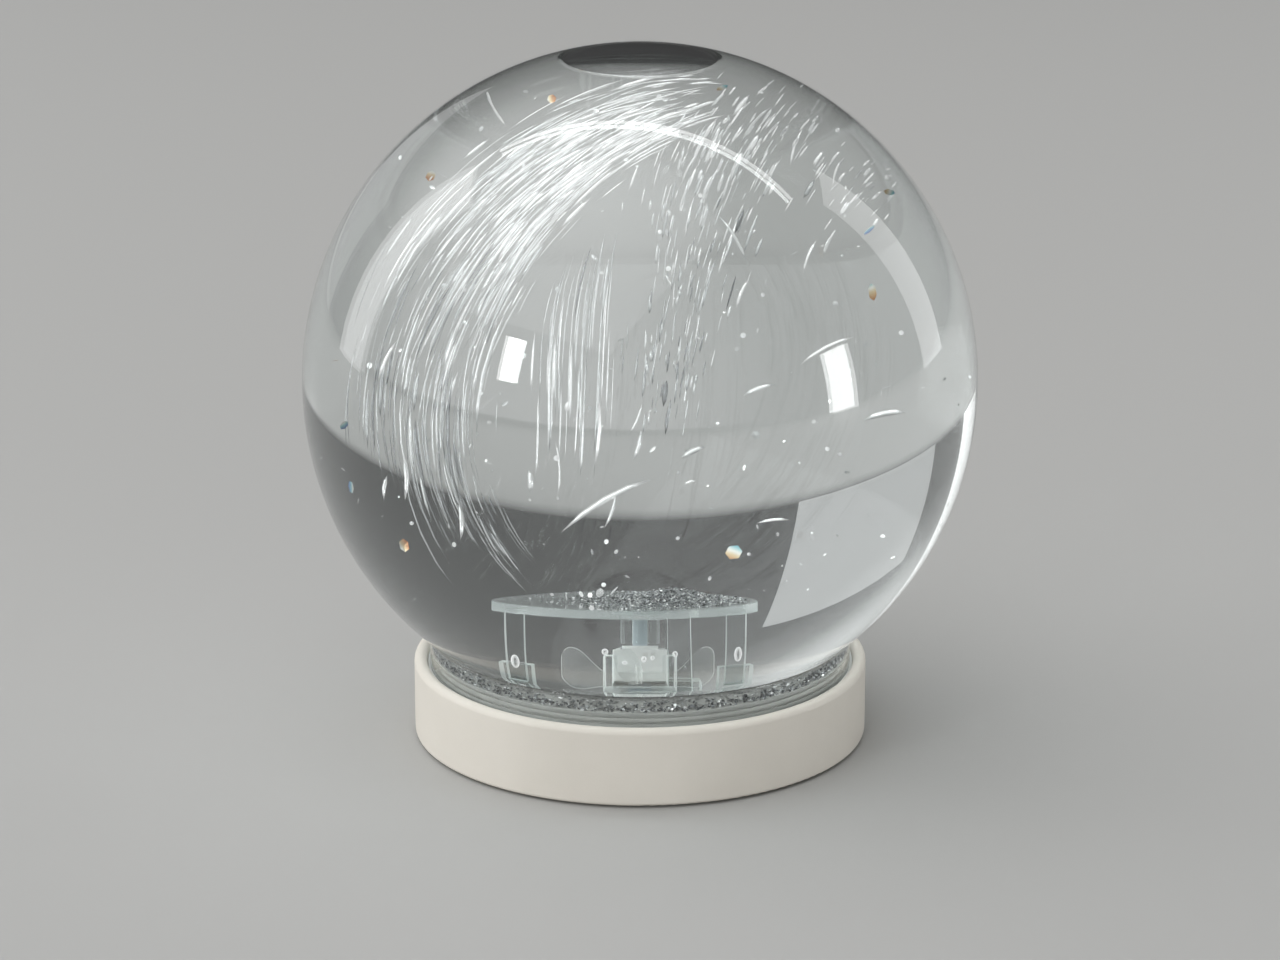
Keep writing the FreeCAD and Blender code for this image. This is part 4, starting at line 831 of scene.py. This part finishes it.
# ---------------------------------------------------------------- trapped air
# Small air bubbles that cling to the parts in the liquid: one on the front of each side bar, just above
# its socket, and beads on the magnet block and on the shoulders of its clip.
air = Finish("trapped_air", Roughness=0.0, IOR=IN_LIQUID, Transmission_Weight=1.0)
air.feed(Base_Color=air.blend(air.noise(900.0), (0.97, 0.98, 0.98), (1.0, 1.0, 1.0)))
# Painted highlight: the bubbles' rims glow, standing in for lamps caught at the edges of the air.
painted_edge_highlight(air, (0.95, 0.96, 0.96), 1.0, 1.8, kinds=("Emission",))
let_light_in(air, (1.0, 1.0, 1.0))
block_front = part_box("magnet_case")[0][1] - 0.0003
for name, middle, half_width, half_height in (
    ("air_bubble_left", (-0.0195, -0.0063, 0.0381), 0.0007, 0.0013),
    ("air_bubble_right", (0.0151, -0.0063, 0.0399), 0.0006, 0.0013),
    ("air_bead_block_left", (-0.0023, block_front, 0.0390), 0.0004, 0.0003),
    ("air_bead_block_middle", (0.0006, block_front, 0.0396), 0.0004, 0.0005),
    ("air_bead_block_right", (0.0019, block_front, 0.0398), 0.0003, 0.0004),
    ("air_bead_clip_left", (-0.0052, -0.0026, 0.0408), 0.0005, 0.0005),
    ("air_bead_clip_right", (0.0052, -0.0026, 0.0404), 0.0004, 0.0005),
):
    outline = arc(1.0, 0.0, 0.0, 90.0, -90.0, 19) * np.array([half_width, half_height])
    outline[[0, -1], 0] = 0.0
    bubble = lathe(name, outline, 24)
    bubble.data.transform(Matrix.Translation(middle))
    bubble.data.materials.append(air.material)
    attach(bubble, "impeller" if "bead" in name else "globe")

# ---------------------------------------------------------------- studio
# A pale floor with soft lamps at both sides, above and behind, in a room that is pale at the front left
# and otherwise dim low down, as the far floor is, so that clear edges and silvered flakes show.
DIM = 0.05
PALE = 0.85
REACH = 6.0
DIM_FROM = 1.1
DIM_TO = 3.2
floor_mesh = bpy.data.meshes.new("floor")
corners = [(-REACH, -REACH, 0), (REACH, -REACH, 0), (REACH, REACH, 0), (-REACH, REACH, 0)]
floor_mesh.from_pydata(corners, [], [(0, 1, 2, 3)])
floor = bpy.data.objects.new("floor", floor_mesh)
bpy.context.collection.objects.link(floor)
card = Finish("floor_card", Base_Color=(0.46, 0.46, 0.45, 1.0), Roughness=0.7)
apart = card.add("VectorMath", output="Value", operation="LENGTH", Vector=card.place)
far = card.add("MapRange", Value=apart, From_Min=DIM_FROM, From_Max=DIM_TO)
seen = sum(card.add("LightPath", output=f"Is {ray} Ray") for ray in ("Camera", "Glossy", "Transmission"))
card.show(card.between(far * seen, card.shown, card.add("Emission", Color=(DIM, DIM, DIM, 1.0))))
floor_mesh.materials.append(card.material)

# The room's dome is dim low down and brightens towards the upper left. Its front left is pale all over.
# The stops go by how far a direction points to the bright side, with the two ends first.
world = bpy.data.worlds.new("surround")
bpy.context.scene.world = world
world.use_nodes = True
sky = Nodes(world.node_tree)
way = sky.add("TexCoord", output="Generated")
bright_side = (-0.45, 0.0, 0.89)
front_left = (-0.6, -0.8, 0.0)
rise = sky.add("VectorMath", output="Value", operation="DOT_PRODUCT", Vector=way, second=bright_side)
front = sky.add("VectorMath", output="Value", operation="DOT_PRODUCT", Vector=way, second=front_left)
tones = ((0.0, DIM), (1.0, 1.5), (0.45, 0.06), (0.60, 0.24), (0.80, 1.0))
dome = sky.add("ValToRGB", stops=[(share, (tone,) * 3) for share, tone in tones], Fac=rise)
surround = sky.add(
    "Mix",
    output="Result",
    data_type="RGBA",
    Factor=sky.add("MapRange", Value=front, From_Min=0.1, From_Max=0.9),
    A=dome,
    B=(PALE, PALE, PALE, 1.0),
)
sky.tree.links.new(surround.socket, sky.tree.nodes["Background"].inputs["Color"])


def softbox(name, place, target, width, height, power):
    """A rectangular soft lamp at place, facing target."""
    lamp = bpy.data.lights.new(name, "AREA")
    lamp.shape = "RECTANGLE"
    lamp.size = width
    lamp.size_y = height
    lamp.energy = power
    stand = bpy.data.objects.new(name, lamp)
    bpy.context.collection.objects.link(stand)
    way = np.array(target) - np.array(place)
    yaw = math.atan2(way[0], way[1])
    pitch = math.atan2(way[2], math.hypot(way[0], way[1]))
    stand.location = place
    stand.rotation_euler = (math.pi / 2 + pitch, 0.0, -yaw)
    return stand


# Place, size across, size upwards and power of each lamp. All face the middle of the globe.
AIM = (0.0, 0.0, float(CENTRE))
softbox("left_strip", (-1.3, 0.55, 0.55), AIM, 0.42, 1.5, 3.4)
right_strip = softbox("right_strip", (1.3, 0.6, 0.5), AIM, 0.36, 1.4, 3.4)
softbox("top_strip", (0.12, 0.48, 1.6), AIM, 2.36, 0.05, 2.3)
softbox("left_front", (-1.1, -1.1, 0.57), AIM, 0.19, 0.38, 2.0)
softbox("right_front", (1.38, -0.5, 0.23), AIM, 0.27, 0.44, 2.2)
softbox("back_left", (-0.85, 1.45, 0.30), AIM, 0.85, 0.60, 0.65)
softbox("overhead", (-0.6, -0.6, 1.65), AIM, 2.6, 2.4, 7.6)
# The right strip isn't seen through the ball, where it would brighten the lower left edge.
right_strip.visible_transmission = False

# The camera stands twelve globe radii away, a little above, and points a little lower than the middle of
# the globe, which so stands in the upper part of its view.
ELEVATION = math.radians(15.8)
BELOW_MIDDLE = math.radians(1.42)
DISTANCE = 12 * GLOBE
camera_data = bpy.data.cameras.new("camera")
camera_data.lens = 113.7
camera_data.sensor_width = 36.0
camera = bpy.data.objects.new("camera", camera_data)
bpy.context.collection.objects.link(camera)
camera.location = (0.0, -DISTANCE * math.cos(ELEVATION), CENTRE + DISTANCE * math.sin(ELEVATION))
camera.rotation_euler = (math.pi / 2 - ELEVATION - BELOW_MIDDLE, 0.0, 0.0)
bpy.context.scene.camera = camera
bpy.context.scene.view_settings.view_transform = "Standard"
